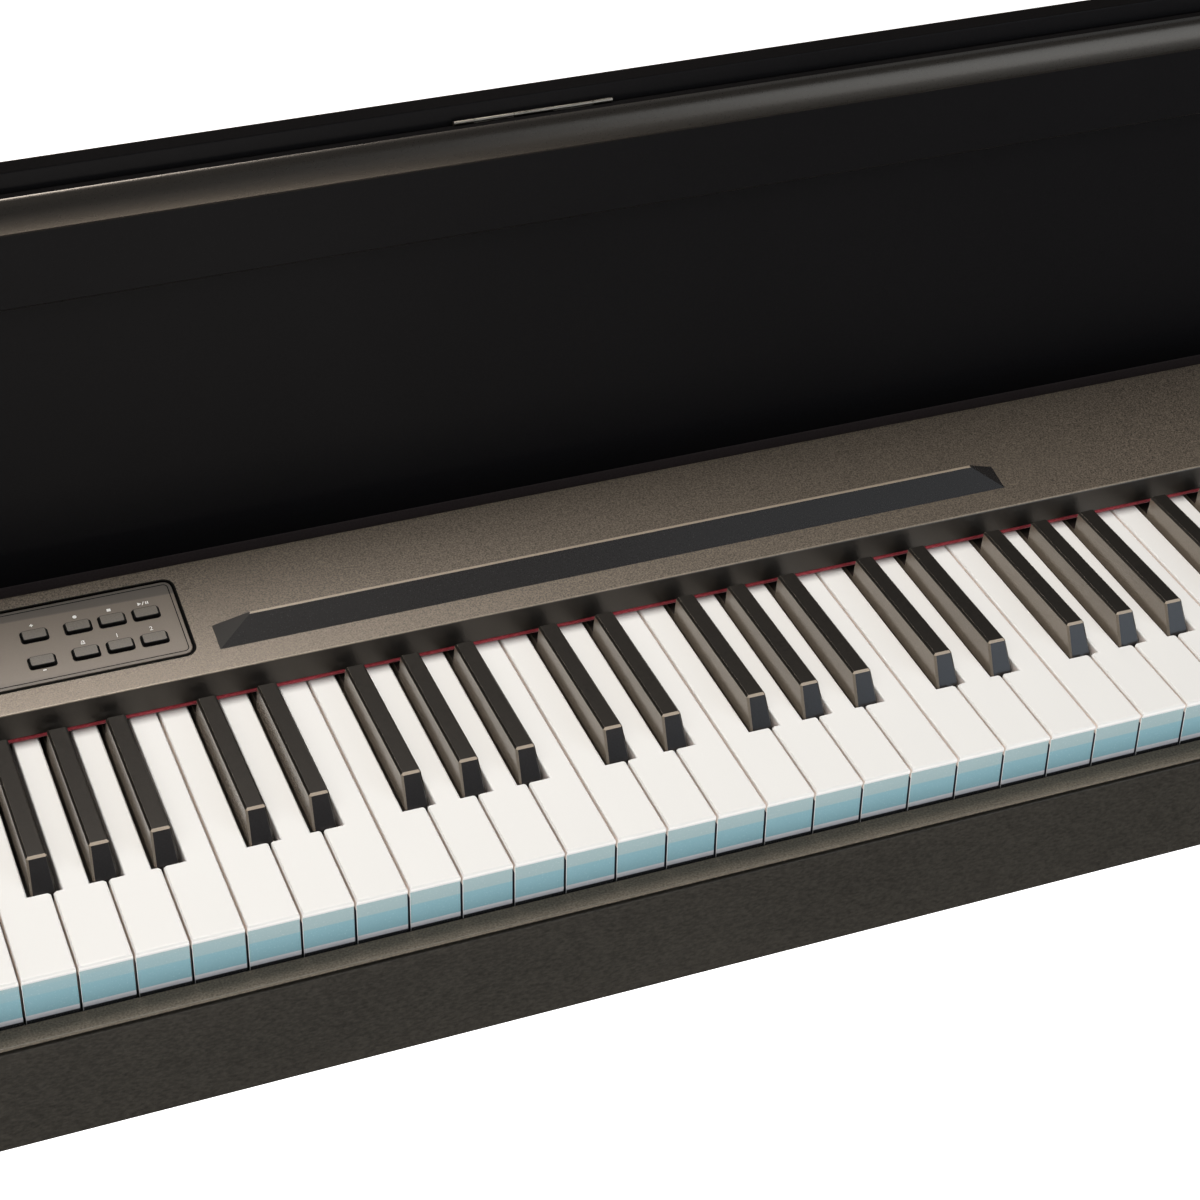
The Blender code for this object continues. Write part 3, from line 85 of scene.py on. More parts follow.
class Mixer:
    """One material's node tree, with a short call for each kind of node that the finishes use."""

    def __init__(self, name: str) -> None:
        """Starts a material of that name with a plain shader."""
        self.material = bpy.data.materials.new(name)
        self.material.use_nodes = True
        self.tree = self.material.node_tree
        self.shader = self.tree.nodes["Principled BSDF"]
        self.place = self.tree.nodes.new("ShaderNodeTexCoord").outputs["Object"]

    def set(self, **values: float | Colour) -> None:
        """Sets the shader's own sockets, with underscores for the spaces in their names."""
        for name, value in values.items():
            socket = self.shader.inputs[name.replace("_", " ")]
            socket.default_value = (*value, 1.0) if isinstance(value, tuple) else value

    def join(self, source: NodeSocket, name: str) -> None:
        """Links a socket to one of the shader's inputs."""
        self.tree.links.new(source, self.shader.inputs[name])

    def scaled(self, stretch: Colour) -> NodeSocket:
        """Object coordinates, stretched along each axis."""
        node = self.tree.nodes.new("ShaderNodeMapping")
        node.inputs["Scale"].default_value = stretch
        self.tree.links.new(self.place, node.inputs["Vector"])
        return node.outputs["Vector"]

    def noise(self, scale: float, detail: float = 2.0, stretch: Colour = (1.0, 1.0, 1.0)) -> NodeSocket:
        """A noise of that many patches to the metre."""
        node = self.tree.nodes.new("ShaderNodeTexNoise")
        node.inputs["Scale"].default_value = scale
        node.inputs["Detail"].default_value = detail
        self.tree.links.new(self.scaled(stretch), node.inputs["Vector"])
        return node.outputs["Fac"]

    def cells(self, scale: float, stretch: Colour = (1.0, 1.0, 1.0)) -> NodeSocket:
        """The distance to the nearest of that many points to the metre."""
        node = self.tree.nodes.new("ShaderNodeTexVoronoi")
        node.inputs["Scale"].default_value = scale
        self.tree.links.new(self.scaled(stretch), node.inputs["Vector"])
        return node.outputs["Distance"]

    def along(self, direction: Colour, start: float, end: float) -> NodeSocket:
        """How far a point lies from start to end along a direction, from 0 to 1."""
        dot = self.tree.nodes.new("ShaderNodeVectorMath")
        dot.operation = "DOT_PRODUCT"
        dot.inputs[1].default_value = direction
        self.tree.links.new(self.place, dot.inputs[0])
        span = self.tree.nodes.new("ShaderNodeMapRange")
        span.inputs["From Min"].default_value = start
        span.inputs["From Max"].default_value = end
        self.tree.links.new(dot.outputs["Value"], span.inputs["Value"])
        return span.outputs["Result"]

    def ramp(self, source: NodeSocket, stops: Sequence[tuple[float, Colour]]) -> NodeSocket:
        """Colours at stops between 0 and 1."""
        node = self.tree.nodes.new("ShaderNodeValToRGB")
        bar = node.color_ramp
        while len(bar.elements) < len(stops):
            bar.elements.new(0.5)
        for element, (at, colour) in zip(bar.elements, stops):
            element.position = at
            element.color = (*colour, 1.0)
        self.tree.links.new(source, node.inputs["Fac"])
        return node.outputs["Color"]

    def blend(self, factor: NodeSocket, first: NodeSocket | Colour, second: NodeSocket | Colour) -> NodeSocket:
        """A mix of two colours by a factor."""
        node = self.tree.nodes.new("ShaderNodeMix")
        node.data_type = "RGBA"
        self.tree.links.new(factor, node.inputs["Factor"])
        for key, value in (("A_Color", first), ("B_Color", second)):
            socket = next(s for s in node.inputs if s.identifier == key)
            if isinstance(value, tuple):
                socket.default_value = (*value, 1.0)
            else:
                self.tree.links.new(value, socket)
        return next(s for s in node.outputs if s.identifier == "Result_Color")

    def sum(self, first: NodeSocket, second: NodeSocket | float, kind: str = "ADD") -> NodeSocket:
        """A sum, or another operation, of two numbers."""
        node = self.tree.nodes.new("ShaderNodeMath")
        node.operation = kind
        self.tree.links.new(first, node.inputs[0])
        if isinstance(second, (int, float)):
            node.inputs[1].default_value = second
        else:
            self.tree.links.new(second, node.inputs[1])
        return node.outputs["Value"]

    def level(self, source: NodeSocket, low: float, high: float) -> NodeSocket:
        """Maps 0 to 1 onto low to high."""
        node = self.tree.nodes.new("ShaderNodeMapRange")
        node.inputs["To Min"].default_value = low
        node.inputs["To Max"].default_value = high
        self.tree.links.new(source, node.inputs["Value"])
        return node.outputs["Result"]

    def emboss(self, height: NodeSocket, depth: float, strength: float = 1.0) -> None:
        """Bumps the surface by a height of that depth in metres."""
        node = self.tree.nodes.new("ShaderNodeBump")
        node.inputs["Distance"].default_value = depth
        node.inputs["Strength"].default_value = strength
        self.tree.links.new(height, node.inputs["Height"])
        self.join(node.outputs["Normal"], "Normal")


@dataclass(frozen=True)
class Grained:
    """A finish whose colour varies softly, with a fine grain in its colour, gloss and surface."""

    name: str
    colour: Colour
    other: Colour
    roughness: float
    grain: float = 900.0
    depth: float = 0.00004
    patch: float = 6.0
    stretch: Colour = (1.0, 1.0, 1.0)
    metallic: float = 0.0
    specular: float = 0.5
    coat: float = 0.0
    spread: float = 0.10
    tint: Colour = (1.0, 1.0, 1.0)
    range: tuple[float, float] = (0.36, 0.64)

    def material(self) -> Material:
        """Builds the finish."""
        mix = Mixer(self.name)
        low, high = self.range
        fine = mix.noise(self.grain, 2.0, self.stretch)
        broad = mix.noise(self.patch, 3.0, self.stretch)
        speckle = mix.level(fine, 0.0, 1.0)
        both = mix.sum(mix.sum(speckle, 0.6, "MULTIPLY"), mix.sum(broad, 0.4, "MULTIPLY"))
        mix.join(mix.ramp(both, ((low, self.colour), (high, self.other))), "Base Color")
        mix.join(mix.level(fine, self.roughness - self.spread, self.roughness + self.spread), "Roughness")
        mix.set(Metallic=self.metallic, Specular_IOR_Level=self.specular, Specular_Tint=self.tint)
        mix.set(Coat_Weight=self.coat, Coat_Roughness=0.08)
        mix.emboss(fine, self.depth)
        return mix.material


@dataclass(frozen=True)
class KeyFront:
    """The front of a white key: a soft lip with painted shade at its foot and a painted shadow line under it, over two
    cool tones of painted reflection whose upper band narrows towards the bass end, a pale strip at the foot of the key
    and a dark line of painted shade below that.
    """

    top: float
    name: str = "key_front"
    # upper and lower are painted reflection: a lighter cool tone above and a teal one below
    upper: Colour = paint(152, 174, 177)
    lower: Colour = paint(128, 169, 180)
    strip: Colour = paint(204, 204, 208)
    lip: Colour = paint(238, 235, 231)
    # the greyer foot of the lip is painted shade, the line below it a painted shadow, and the dark slit at the bottom
    # painted shade above the cap
    lip_shade: Colour = paint(204, 202, 203)
    lip_shadow: Colour = paint(140, 152, 158)
    slit_shadow: Colour = paint(20, 22, 26)
    # over this span of x the upper band of painted reflection narrows towards the bass end
    reflection_fade: tuple[float, float] = (-0.400, -0.215)

    def material(self) -> Material:
        """Builds the finish from the height of the key tops."""
        mix = Mixer(self.name)
        down = mix.along((0.0, 0.0, -1.0), -self.top, -self.top + 0.0250)
        head = ((0.00, self.lip), (0.05, self.lip), (0.092, self.lip_shade), (0.102, self.lip_shadow))
        foot = (
            (0.415, self.lower), (0.808, self.lower), (0.82, self.strip), (0.905, self.strip), (0.92, self.slit_shadow),
        )
        # two ramps of painted reflection and shade: one with a wide upper band, one with a narrow one
        bright = mix.ramp(down, (*head, (0.125, self.upper), (0.40, self.upper), *foot))
        even = mix.ramp(down, (*head, (0.125, self.upper), (0.24, self.lower), *foot))
        tone = mix.blend(mix.along((1.0, 0.0, 0.0), *self.reflection_fade), even, bright)
        fine = mix.noise(1300.0, 1.0)
        mix.join(mix.blend(mix.level(fine, 0.0, 0.05), tone, self.lip), "Base Color")
        mix.join(mix.level(fine, 0.22, 0.30), "Roughness")
        return mix.material


@dataclass(frozen=True)
class BronzePlate:
    """The control plate: a fine satin bronze with painted shade in a darker band along its top that widens to the
    right and in a softer darkening at its lower left.
    """

    slope: float
    low: float
    high: float
    name: str = "plate_bronze"
    widen: float = 0.027
    right: float = -0.2115
    face: Colour = paint(101, 90, 78)
    shade: Colour = paint(70, 63, 55)
    low_shade: Colour = paint(86, 77, 67)

    def material(self) -> Material:
        """Builds the finish along the panel's slope."""
        mix = Mixer(self.name)
        up = (self.widen, math.cos(self.slope), math.sin(self.slope))
        lag = self.widen * self.right
        rise = mix.along(up, self.low + lag, self.high + lag)
        # the dark ends of the ramp are painted shade
        stops = ((0.0, self.low_shade), (0.07, self.face), (0.800, self.face), (0.818, self.shade), (1.0, self.shade))
        tone = mix.ramp(rise, stops)
        fine = mix.noise(1400.0, 2.0)
        mix.join(mix.blend(mix.level(fine, 0.0, 0.16), tone, self.shade), "Base Color")
        mix.join(mix.level(fine, 0.46, 0.58), "Roughness")
        mix.set(Metallic=0.15, Coat_Weight=0.06, Coat_Roughness=0.3)
        mix.emboss(fine, 0.00001)
        return mix.material


@dataclass(frozen=True)
class Felt:
    """Dyed wool felt: soft fibres in its colour and on its surface, with a sheen."""

    name: str = "felt_red"
    wool: Colour = paint(160, 38, 48)
    lint: Colour = paint(196, 78, 88)

    def material(self) -> Material:
        """Builds the finish."""
        mix = Mixer(self.name)
        fibres = mix.noise(1600.0, 5.0, (0.35, 1.0, 1.0))
        mix.join(mix.ramp(fibres, ((0.35, self.wool), (0.72, self.lint))), "Base Color")
        mix.set(Roughness=0.95, Sheen_Weight=0.6, Sheen_Roughness=0.5, Specular_IOR_Level=0.2)
        mix.emboss(fibres, 0.0003)
        return mix.material


@dataclass(frozen=True)
class Veneer:
    """A laminate printed and embossed with a fine straight wood grain along one axis."""

    name: str
    colour: Colour
    other: Colour
    stretch: Colour
    roughness: float = 0.42
    depth: float = 0.00005

    def material(self) -> Material:
        """Builds the finish."""
        mix = Mixer(self.name)
        grain = mix.noise(420.0, 6.0, self.stretch)
        pores = mix.noise(1500.0, 3.0, self.stretch)
        fine = mix.noise(1100.0, 2.0)
        streak = mix.sum(mix.sum(grain, 0.7, "MULTIPLY"), mix.sum(pores, 0.3, "MULTIPLY"))
        mix.join(mix.ramp(streak, ((0.34, self.colour), (0.68, self.other))), "Base Color")
        mix.join(mix.level(fine, self.roughness - 0.08, self.roughness + 0.10), "Roughness")
        mix.emboss(mix.sum(streak, mix.sum(fine, 0.5, "MULTIPLY")), self.depth)
        return mix.material


@dataclass(frozen=True)
class Mesh:
    """Black metal punched with small round holes at scattered points."""

    name: str = "speaker_mesh"
    pitch: float = 0.0032

    def material(self) -> Material:
        """Builds the finish."""
        mix = Mixer(self.name)
        holes = mix.cells(1.0 / self.pitch)
        mix.join(mix.ramp(holes, ((0.30, paint(6, 6, 6)), (0.36, paint(40, 40, 40)))), "Base Color")
        mix.set(Roughness=0.45, Metallic=0.4)
        mix.emboss(mix.ramp(holes, ((0.28, (0.0, 0.0, 0.0)), (0.40, (1.0, 1.0, 1.0)))), 0.0006)
        return mix.material


@dataclass(frozen=True)
class Lamp:
    """A lit segment or a printed white sign."""

    name: str
    colour: Colour
    glow: float = 0.0

    def material(self) -> Material:
        """Builds the finish, with a little speckle as print has."""
        mix = Mixer(self.name)
        fine = mix.noise(2500.0, 2.0)
        dull = (self.colour[0] * 0.85, self.colour[1] * 0.85, self.colour[2] * 0.85)
        mix.join(mix.ramp(fine, ((0.3, dull), (0.6, self.colour))), "Base Color")
        mix.set(Roughness=0.5, Emission_Color=self.colour, Emission_Strength=self.glow)
        return mix.material


# ---------------------------------------------------------------------------------------------- mesh tools


def merged(node: str) -> BMesh:
    """A copy of a node's mesh with its loose triangles sewn together and its flat faces made whole.

    Args:
        node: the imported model's node.

    Returns:
        The copy, to be dressed and then set out.
    """
    shape = bmesh.new()
    shape.from_mesh(bpy.data.objects[node].data)
    bmesh.ops.remove_doubles(shape, verts=shape.verts, dist=2e-6)
    bmesh.ops.dissolve_limit(shape, angle_limit=math.radians(0.8), verts=shape.verts, edges=shape.edges)
    return shape


def round_off(shape: BMesh, edges: Iterable[BMEdge], width: float, segments: int = 2) -> list[BMFace]:
    """Rounds some edges of a shape and returns the new faces."""
    made = bmesh.ops.bevel(
        shape, geom=list(edges), offset=width, offset_type="OFFSET", segments=segments,
        profile=0.5, affect="EDGES", clamp_overlap=True, material=-1,
    )
    return made["faces"]


def sharp(shape: BMesh, test: Callable[[Vector], bool] | None = None, least: float = 25.0) -> list[BMEdge]:
    """The edges that turn by more than least degrees and whose ends both pass the test."""
    found = []
    for edge in shape.edges:
        if len(edge.link_faces) != 2 or edge.calc_face_angle(0.0) < math.radians(least):
            continue
        if test is None or all(test(vert.co) for vert in edge.verts):
            found.append(edge)
    return found


def block(low: Sequence[float], high: Sequence[float]) -> BMesh:
    """A box between two corners."""
    shape = bmesh.new()
    size = [b - a for a, b in zip(low, high)]
    middle = [(a + b) / 2 for a, b in zip(low, high)]
    turn = Matrix.Translation(middle) @ Matrix.Diagonal((*size, 1.0))
    bmesh.ops.create_cube(shape, size=1.0, matrix=turn)
    return shape


def disc(radius: float, thick: float, sides: int = 32, top: float | None = None) -> BMesh:
    """A round plate on the XY plane, with a second radius for its top if one is given."""
    shape = bmesh.new()
    bmesh.ops.create_cone(
        shape, cap_ends=True, segments=sides, radius1=radius, radius2=radius if top is None else top,
        depth=thick, matrix=Matrix.Translation((0.0, 0.0, thick / 2)),
    )
    return shape


def added(shape: BMesh, other: BMesh, matrix: Matrix | None = None) -> None:
    """Adds another shape, moved by a matrix, and frees it."""
    if matrix is not None:
        bmesh.ops.transform(other, matrix=matrix, verts=other.verts)
    mesh = bpy.data.meshes.new("part")
    other.to_mesh(mesh)
    other.free()
    shape.from_mesh(mesh)
    bpy.data.meshes.remove(mesh)


def set_out(
    name: str,
    shape: BMesh,
    finishes: Sequence[Material],
    body: str,
    stands_for: Sequence[str] = (),
    smooth: float = 38.0,
    weighted: bool = True,
) -> Object:
    """Turns a shape into a finished piece that rides on a body.

    Args:
        name: the piece's name.
        shape: its shape, in the model's frame. It is freed.
        finishes: its materials, in the order of the faces' material numbers.
        body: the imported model's body that carries it.
        stands_for: the nodes that it replaces.
        smooth: edges that turn by more than this many degrees stay sharp.
        weighted: whether large faces keep their flat shading.

    Returns:
        The new object.
    """
    mesh = bpy.data.meshes.new(name)
    shape.to_mesh(mesh)
    shape.free()
    for finish in finishes:
        mesh.materials.append(finish)
    mesh.shade_smooth()
    mesh.set_sharp_from_angle(angle=math.radians(smooth))
    piece = bpy.data.objects.new(name, mesh)
    bpy.context.scene.collection.objects.link(piece)
    if weighted:
        normals = piece.modifiers.new("normals", "WEIGHTED_NORMAL")
        normals.keep_sharp = True
    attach(piece, body)
    if stands_for:
        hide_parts(*stands_for)
    LOG.info("%s rides on %s, %d faces", name, body, len(mesh.polygons))
    return piece


# ---------------------------------------------------------------------------------------------- keyboard


@dataclass
class Keyboard:
    """The 88 keys, with the felt behind them."""

    key_top: float = 0.722
    front: float = -0.1555
    shown: float = 0.152
    lip: float = 0.0025
    rim: float = 0.00022
    sharp_rim: float = 0.00035

    def finishes(self) -> None:
        """Makes the keys' materials."""
        top = Grained(
            "key_white", paint(229, 227, 223), paint(230, 228, 224), 0.28,
            grain=1800.0, depth=0.0, specular=0.4, spread=0.01,
        )
        body = Grained("key_white_body", paint(238, 226, 217), paint(244, 234, 226), 0.45, depth=0.00001)
        # painted shade with a blue painted reflection: the sides of the white keys near the front, in the gaps between
        # them
        gap_shade = Grained("key_front_side_shade", paint(50, 52, 66), paint(62, 64, 80), 0.6, specular=0.2)
        dark = Grained(
            "key_black", paint(24, 22, 20), paint(34, 31, 27), 0.32,
            grain=900.0, depth=0.000012, specular=0.6, spread=0.05, tint=(1.0, 0.92, 0.84),
        )
        side = Grained(
            "key_black_side", paint(40, 38, 37), paint(46, 44, 44), 0.22,
            grain=1800.0, depth=0.0, specular=0.35, spread=0.03, tint=(0.92, 0.95, 1.0),
        )
        # painted reflection and light: a pale warm colour on the black keys' left sides, standing for the white keys
        # mirrored in them and the light from the left
        flank_reflection = Grained(
            "key_black_flank", paint(114, 104, 92), paint(126, 116, 103), 0.20,
            grain=1800.0, depth=0.0, specular=1.0, spread=0.03, tint=(1.0, 0.92, 0.84),
        )
        # painted highlight: a warm light colour on the rounded rims of the black keys
        rim = Grained(
            "key_black_rim_highlight", paint(156, 143, 127), paint(172, 158, 142), 0.22,
            grain=1800.0, depth=0.0, specular=1.0, spread=0.05, tint=(1.0, 0.92, 0.84),
        )
        self.white = [top.material(), KeyFront(self.key_top).material(), body.material(), gap_shade.material()]
        self.black = [dark.material(), side.material(), rim.material(), flank_reflection.material()]

    def dress_white(self, shape: BMesh) -> None:
        """Rounds a white key's edges and sorts its faces into top, front and body, with the sides near the front, seen
        in the narrow gaps, in painted shade tinted by a painted blue reflection.
        """
        top, front, lip = self.key_top, self.front, self.lip
        behind = front + self.shown
        low = top - 0.0253

        def seen(at: Vector) -> bool:
            return at.y < behind and at.z > top - 0.001

        def nose(at: Vector) -> bool:
            return at.y < front + 0.0012 and at.z > low

        rim = set(sharp(shape, seen, 20.0)) | set(sharp(shape, nose, 20.0))
        round_off(shape, rim, self.rim, 2)
        # two cuts mark off the part of each side near the front that takes the painted shade
        for place, normal in (((0.0, front + 0.0045, 0.0), (0, 1, 0)), ((0.0, 0.0, top - 0.0060), (0, 0, 1))):
            every = [*shape.verts, *shape.edges, *shape.faces]
            bmesh.ops.bisect_plane(shape, geom=every, dist=1e-6, plane_co=place, plane_no=normal)
        for face in shape.faces:
            at, turn = face.calc_center_median(), face.normal
            if turn.y < -0.94 and at.y < front + 0.002:
                face.material_index = 1
            elif at.z > top - lip - 0.0004 and (at.z > top - 0.0012 or at.y < front + 0.0012):
                face.material_index = 0
            elif -0.94 < turn.y < -0.15 and at.y < front + 0.0012:
                face.material_index = 0 if turn.x < -0.15 else 1
            # sides near the front, below the lip: the painted shade of the gaps
            elif abs(turn.x) > 0.9 and at.y < front + 0.0045 and at.z < top - 0.0060:
                face.material_index = 3
            else:
                face.material_index = 2

    def dress_black(self, shape: BMesh) -> None:
        """Rounds the edges of a black key's cap and sorts its faces into top, sides, a painted highlight on the
        rounded rims and the front-left corner, and a painted reflection on the left flank.
        """
        low = self.key_top + 0.004

        def cap(at: Vector) -> bool:
            return at.z > low

        def foot(at: Vector) -> bool:
            return at.z > self.key_top - 0.003 and at.y < self.front + 0.075

        round_off(shape, set(sharp(shape, cap, 20.0)) | set(sharp(shape, foot, 30.0)), self.sharp_rim, 4)
        for face in shape.faces:
            turn = face.normal
            left_corner = -0.70 < turn.x < -0.40 and turn.y < -0.60
            front_rim = turn.z > 0.6 and -0.62 < turn.y < -0.33
            side_rim = turn.z > 0.6 and -0.55 < turn.x < -0.33
            # the rims and the front-left corner take the painted highlight
            if left_corner or front_rim or side_rim:
                face.material_index = 2
            elif turn.z > 0.62 or (turn.x > 0.15 and turn.y < -0.15):
                face.material_index = 0
            # the left side takes the painted reflection
            elif turn.x < -0.6:
                face.material_index = 3
            else:
                face.material_index = 1

    def build(self, bodies: dict[str, list[str]]) -> None:
        """Dresses each key and the two banks of outer keys."""
        self.finishes()
        keys = [(name, name) for name in bodies if name.startswith("key_")]
        keys += [("white_key_bank", "cabinet"), ("black_key_bank", "cabinet")]
        for node, body in keys:
            black = node == "black_key_bank" or (node != "white_key_bank" and node[:-1].endswith("s"))
            shape = merged(node)
            if black:
                self.dress_black(shape)
            else:
                self.dress_white(shape)
            finishes, slot = (self.black, "black_key") if black else (self.white, "white_key")
            set_out(f"{node}_dressed", shape, finishes, body, [node])
        self.felt()

    def felt(self) -> None:
        """The felt strip, with soft edges and a slightly uneven nap."""
        low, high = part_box("felt_strip")
        inset = 0.0001
        shape = block(low + Vector((inset,) * 3), high - Vector((inset,) * 3))
        long = [e for e in shape.edges if abs(e.verts[0].co.x - e.verts[1].co.x) > 0.5]
        bmesh.ops.subdivide_edges(shape, edges=long, cuts=400, use_grid_fill=True)
        rim = [e for e in sharp(shape, None, 60.0) if abs(e.verts[0].co.x - e.verts[1].co.x) > 0.001]
        round_off(shape, rim, 0.0007, 3)
        for vert in shape.verts:
            wave = math.sin(vert.co.x * 1900.0) * math.sin(vert.co.x * 713.0 + vert.co.z * 900.0)
            vert.co.y += 0.00008 * wave
        set_out("felt_strip_nap", shape, [Felt().material()], "cabinet", ["felt_strip"], weighted=False)


# ---------------------------------------------------------------------------------------------- front


@dataclass
class Front:
    """The rail under the keys and the moulded cap on it, with the cheeks beside the keys."""

    def build(self, looks: Looks) -> None:
        """Dresses the rail, the cap and the key bed with its cheeks."""
        cap = merged("key_slip_cap")
        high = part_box("key_slip_cap")[1].z
        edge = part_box("key_slip_cap")[0].y
        rim = round_off(cap, sharp(cap, lambda at: at.z > high - 0.0006 and at.y < edge + 0.003, 15.0), 0.00014, 1)
        for face in cap.faces:
            face.material_index = 0
        # the rounded front edge of the cap takes a painted highlight
        for face in rim:
            face.material_index = 1
        set_out("key_slip_cap_moulded", cap, [looks.cap, looks.cap_edge_highlight], "cabinet", ["key_slip_cap"])
        rail = merged("front_rail")
        set_out("front_rail_veneered", rail, [looks.rail], "cabinet", ["front_rail"])
        bed = merged("keybed")
        top = 0.722

        def cheek(at: Vector) -> bool:
            return at.z > top + 0.005

        round_off(bed, sharp(bed, cheek, 12.0), 0.0006, 2)
        for face in bed.faces:
            face.material_index = 1 if face.calc_center_median().z > 0.662 else 0
        set_out("keybed_dressed", bed, [looks.veneer_long, looks.moulded], "cabinet", ["keybed"])


# ---------------------------------------------------------------------------------------------- panel


@dataclass
class ControlPanel:
    """The sloping panel behind the keys, the plate let into it, and its controls and signs."""

    edge_y: float = -0.0010
    edge_z: float = 0.7367
    slope: float = math.radians(11.86)
    plate_left: float = -0.560
    plate_right: float = -0.2115
    plate_low: float = 0.0135
    plate_high: float = 0.0620
    groove: float = 0.0010
    middle: float = 0.03775
    knob_x: float = -0.500
    power_x: float = -0.536

    def plane(self, x: float = 0.0, v: float = 0.0, rise: float = 0.0) -> Matrix:
        """The matrix of a place on the panel: x along it, v up its slope, rise off its face."""
        turn = Matrix.Translation((0.0, self.edge_y, self.edge_z)) @ Matrix.Rotation(self.slope, 4, "X")
        return turn @ Matrix.Translation((x, v, rise))

    def flat(self, at: Vector) -> Vector:
        """A point in the panel's own plane: x, v and the height off its face."""
        return self.plane().inverted() @ at

    def build(self, looks: Looks) -> None:
        """Dresses the panel, the plate and the controls, and adds the signs, the display and the scales."""
        panel = merged("top_panel")

        def ledge(at: Vector) -> bool:
            own = self.flat(at)
            return own.z > 0.002

        round_off(panel, sharp(panel, ledge, 12.0), 0.00025, 1)
        upright = self.plane().to_3x3().inverted()
        for face in panel.faces:
            own = self.flat(face.calc_center_median())
            turn = upright @ face.normal
            # the walls of the pocket round the plate are near black: painted shade
            deep = own.z < -0.0004 and self.inside(face.calc_center_median(), -0.004)
            wall = own.y < 0.0004 and face.normal.y < -0.8
            # the rounded front edge of the panel takes a painted highlight
            edge = own.y < 0.0012 and -0.95 < face.normal.y < -0.35 and face.normal.z > 0.3
            if deep:
                face.material_index = 1
            elif own.z > 0.0002:
                # the narrow top of the ledge takes a painted highlight
                crest_highlight = -0.25 < turn.y < 0.9 and abs(turn.x) < 0.15 and own.z > 0.0022
                end = turn.x < -0.15 and own.x < -0.15
                face.material_index = 6 if crest_highlight else (5 if end else 2)
            else:
                face.material_index = 3 if wall else (4 if edge else 0)
        finishes = [
            looks.moulded, looks.groove, looks.ledge, looks.wall, looks.panel_edge_highlight, looks.ledge_end, looks.crest_highlight,
        ]
        piece = set_out("top_panel_moulded", panel, finishes, "cabinet", ["top_panel"])
        for edge in piece.data.edges:
            ends = [self.flat(piece.data.vertices[k].co) for k in edge.vertices]
            if all(own.z > -0.0002 and -0.202 < own.x < 0.204 and 0.012 < own.y < 0.0295 for own in ends):
                edge.use_edge_sharp = True
        self.build_plate(looks)
        self.build_signs(looks)
        self.build_buttons(looks)
        self.build_display(looks)

    def build_plate(self, looks: Looks) -> None:
        """The plate, its bevelled rim, a black loop of painted shade over the groove round it, and a thin dark line
        inside it.
        """
        start = self.edge_y * math.cos(self.slope) + self.edge_z * math.sin(self.slope)
        bronze = BronzePlate(self.slope, start + self.plate_low, start + self.plate_high).material()
        plate = merged("control_plate")
        top = [f for f in plate.faces if f.normal.z > 0.9]
        rim = {e for f in top for e in f.edges}
        rim = [
            e for e in rim
            if e.calc_face_angle(0.0) > 1.0 and all(not self.inside(v.co, 0.0025) for v in e.verts)
        ]
        round_off(plate, rim, 0.0003, 2)
        set_out("control_plate_bronze", plate, [bronze], "cabinet", ["control_plate"], smooth=20.0)
        line = bmesh.new()
        added(line, self.frame_line(0.0026, 0.00045, 0.00003))
        # a black loop of painted shade over the groove and the outer edge of the rim
        added(line, self.frame_line(-0.0007, 0.0011, 0.00003))
        bmesh.ops.transform(line, matrix=self.plane(), verts=line.verts)
        set_out("plate_line", line, [looks.groove], "cabinet", weighted=False)

    def inside(self, at: Vector, inset: float) -> bool:
        """Whether a point lies inside the plate's outline by more than an inset."""
        own = self.flat(at)
        return (
            self.plate_left + inset < own.x < self.plate_right - inset
            and self.plate_low + inset < own.y < self.plate_high - inset
        )

    def frame_line(self, inset: float, width: float, height: float) -> BMesh:
        """A flat line that follows the plate's outline at an inset."""
        left, right = self.plate_left + inset, self.plate_right - inset
        low, high = self.plate_low + inset, self.plate_high - inset
        return self.loop((left, right), (low, high), 0.005 - inset, width, height)

    @staticmethod
    def loop(
        across: tuple[float, float], along: tuple[float, float], corner: float, width: float, height: float
    ) -> BMesh:
        """A flat line round a rectangle with round corners.

        Args:
            across: the rectangle's left and right, in metres.
            along: its low and high, measured up the slope.
            corner: the radius of its corners.
            width: the width of the line, inward from the rectangle.
            height: how far the line stands above the slope.

        Returns:
            The line's mesh, in the slope's own axes.
        """
        shape = bmesh.new()
        (left, right), (low, high) = across, along
        centres = (
            (right - corner, high - corner, 0.0), (left + corner, high - corner, 90.0),
            (left + corner, low + corner, 180.0), (right - corner, low + corner, 270.0),
        )
        outer, inner = [], []
        for x, y, start in centres:
            for k in range(9):
                turn = math.radians(start + 90.0 * k / 8)
                for ring, radius in ((outer, corner), (inner, corner - width)):
                    ring.append(shape.verts.new((x + radius * math.cos(turn), y + radius * math.sin(turn), height)))
        count = len(outer)
        for k in range(count):
            shape.faces.new((outer[k], outer[(k + 1) % count], inner[(k + 1) % count], inner[k]))
        return shape

    def build_signs(self, looks: Looks) -> None:
        """The white generic signs by the buttons."""
        signs = bmesh.new()
        thick = 0.00004
        upper, lower = 0.04335 + 0.0068, 0.0270 + 0.0068

        def bar(x: float, v: float, wide: float, high: float, turn: float = 0.0) -> None:
            part = block((-wide / 2, -high / 2, 0.0), (wide / 2, high / 2, thick))
            added(signs, part, self.plane(x, v) @ Matrix.Rotation(turn, 4, "Z"))

        def dot(x: float, v: float, radius: float, sides: int = 24) -> None:
            added(signs, disc(radius, thick, sides), self.plane(x, v))

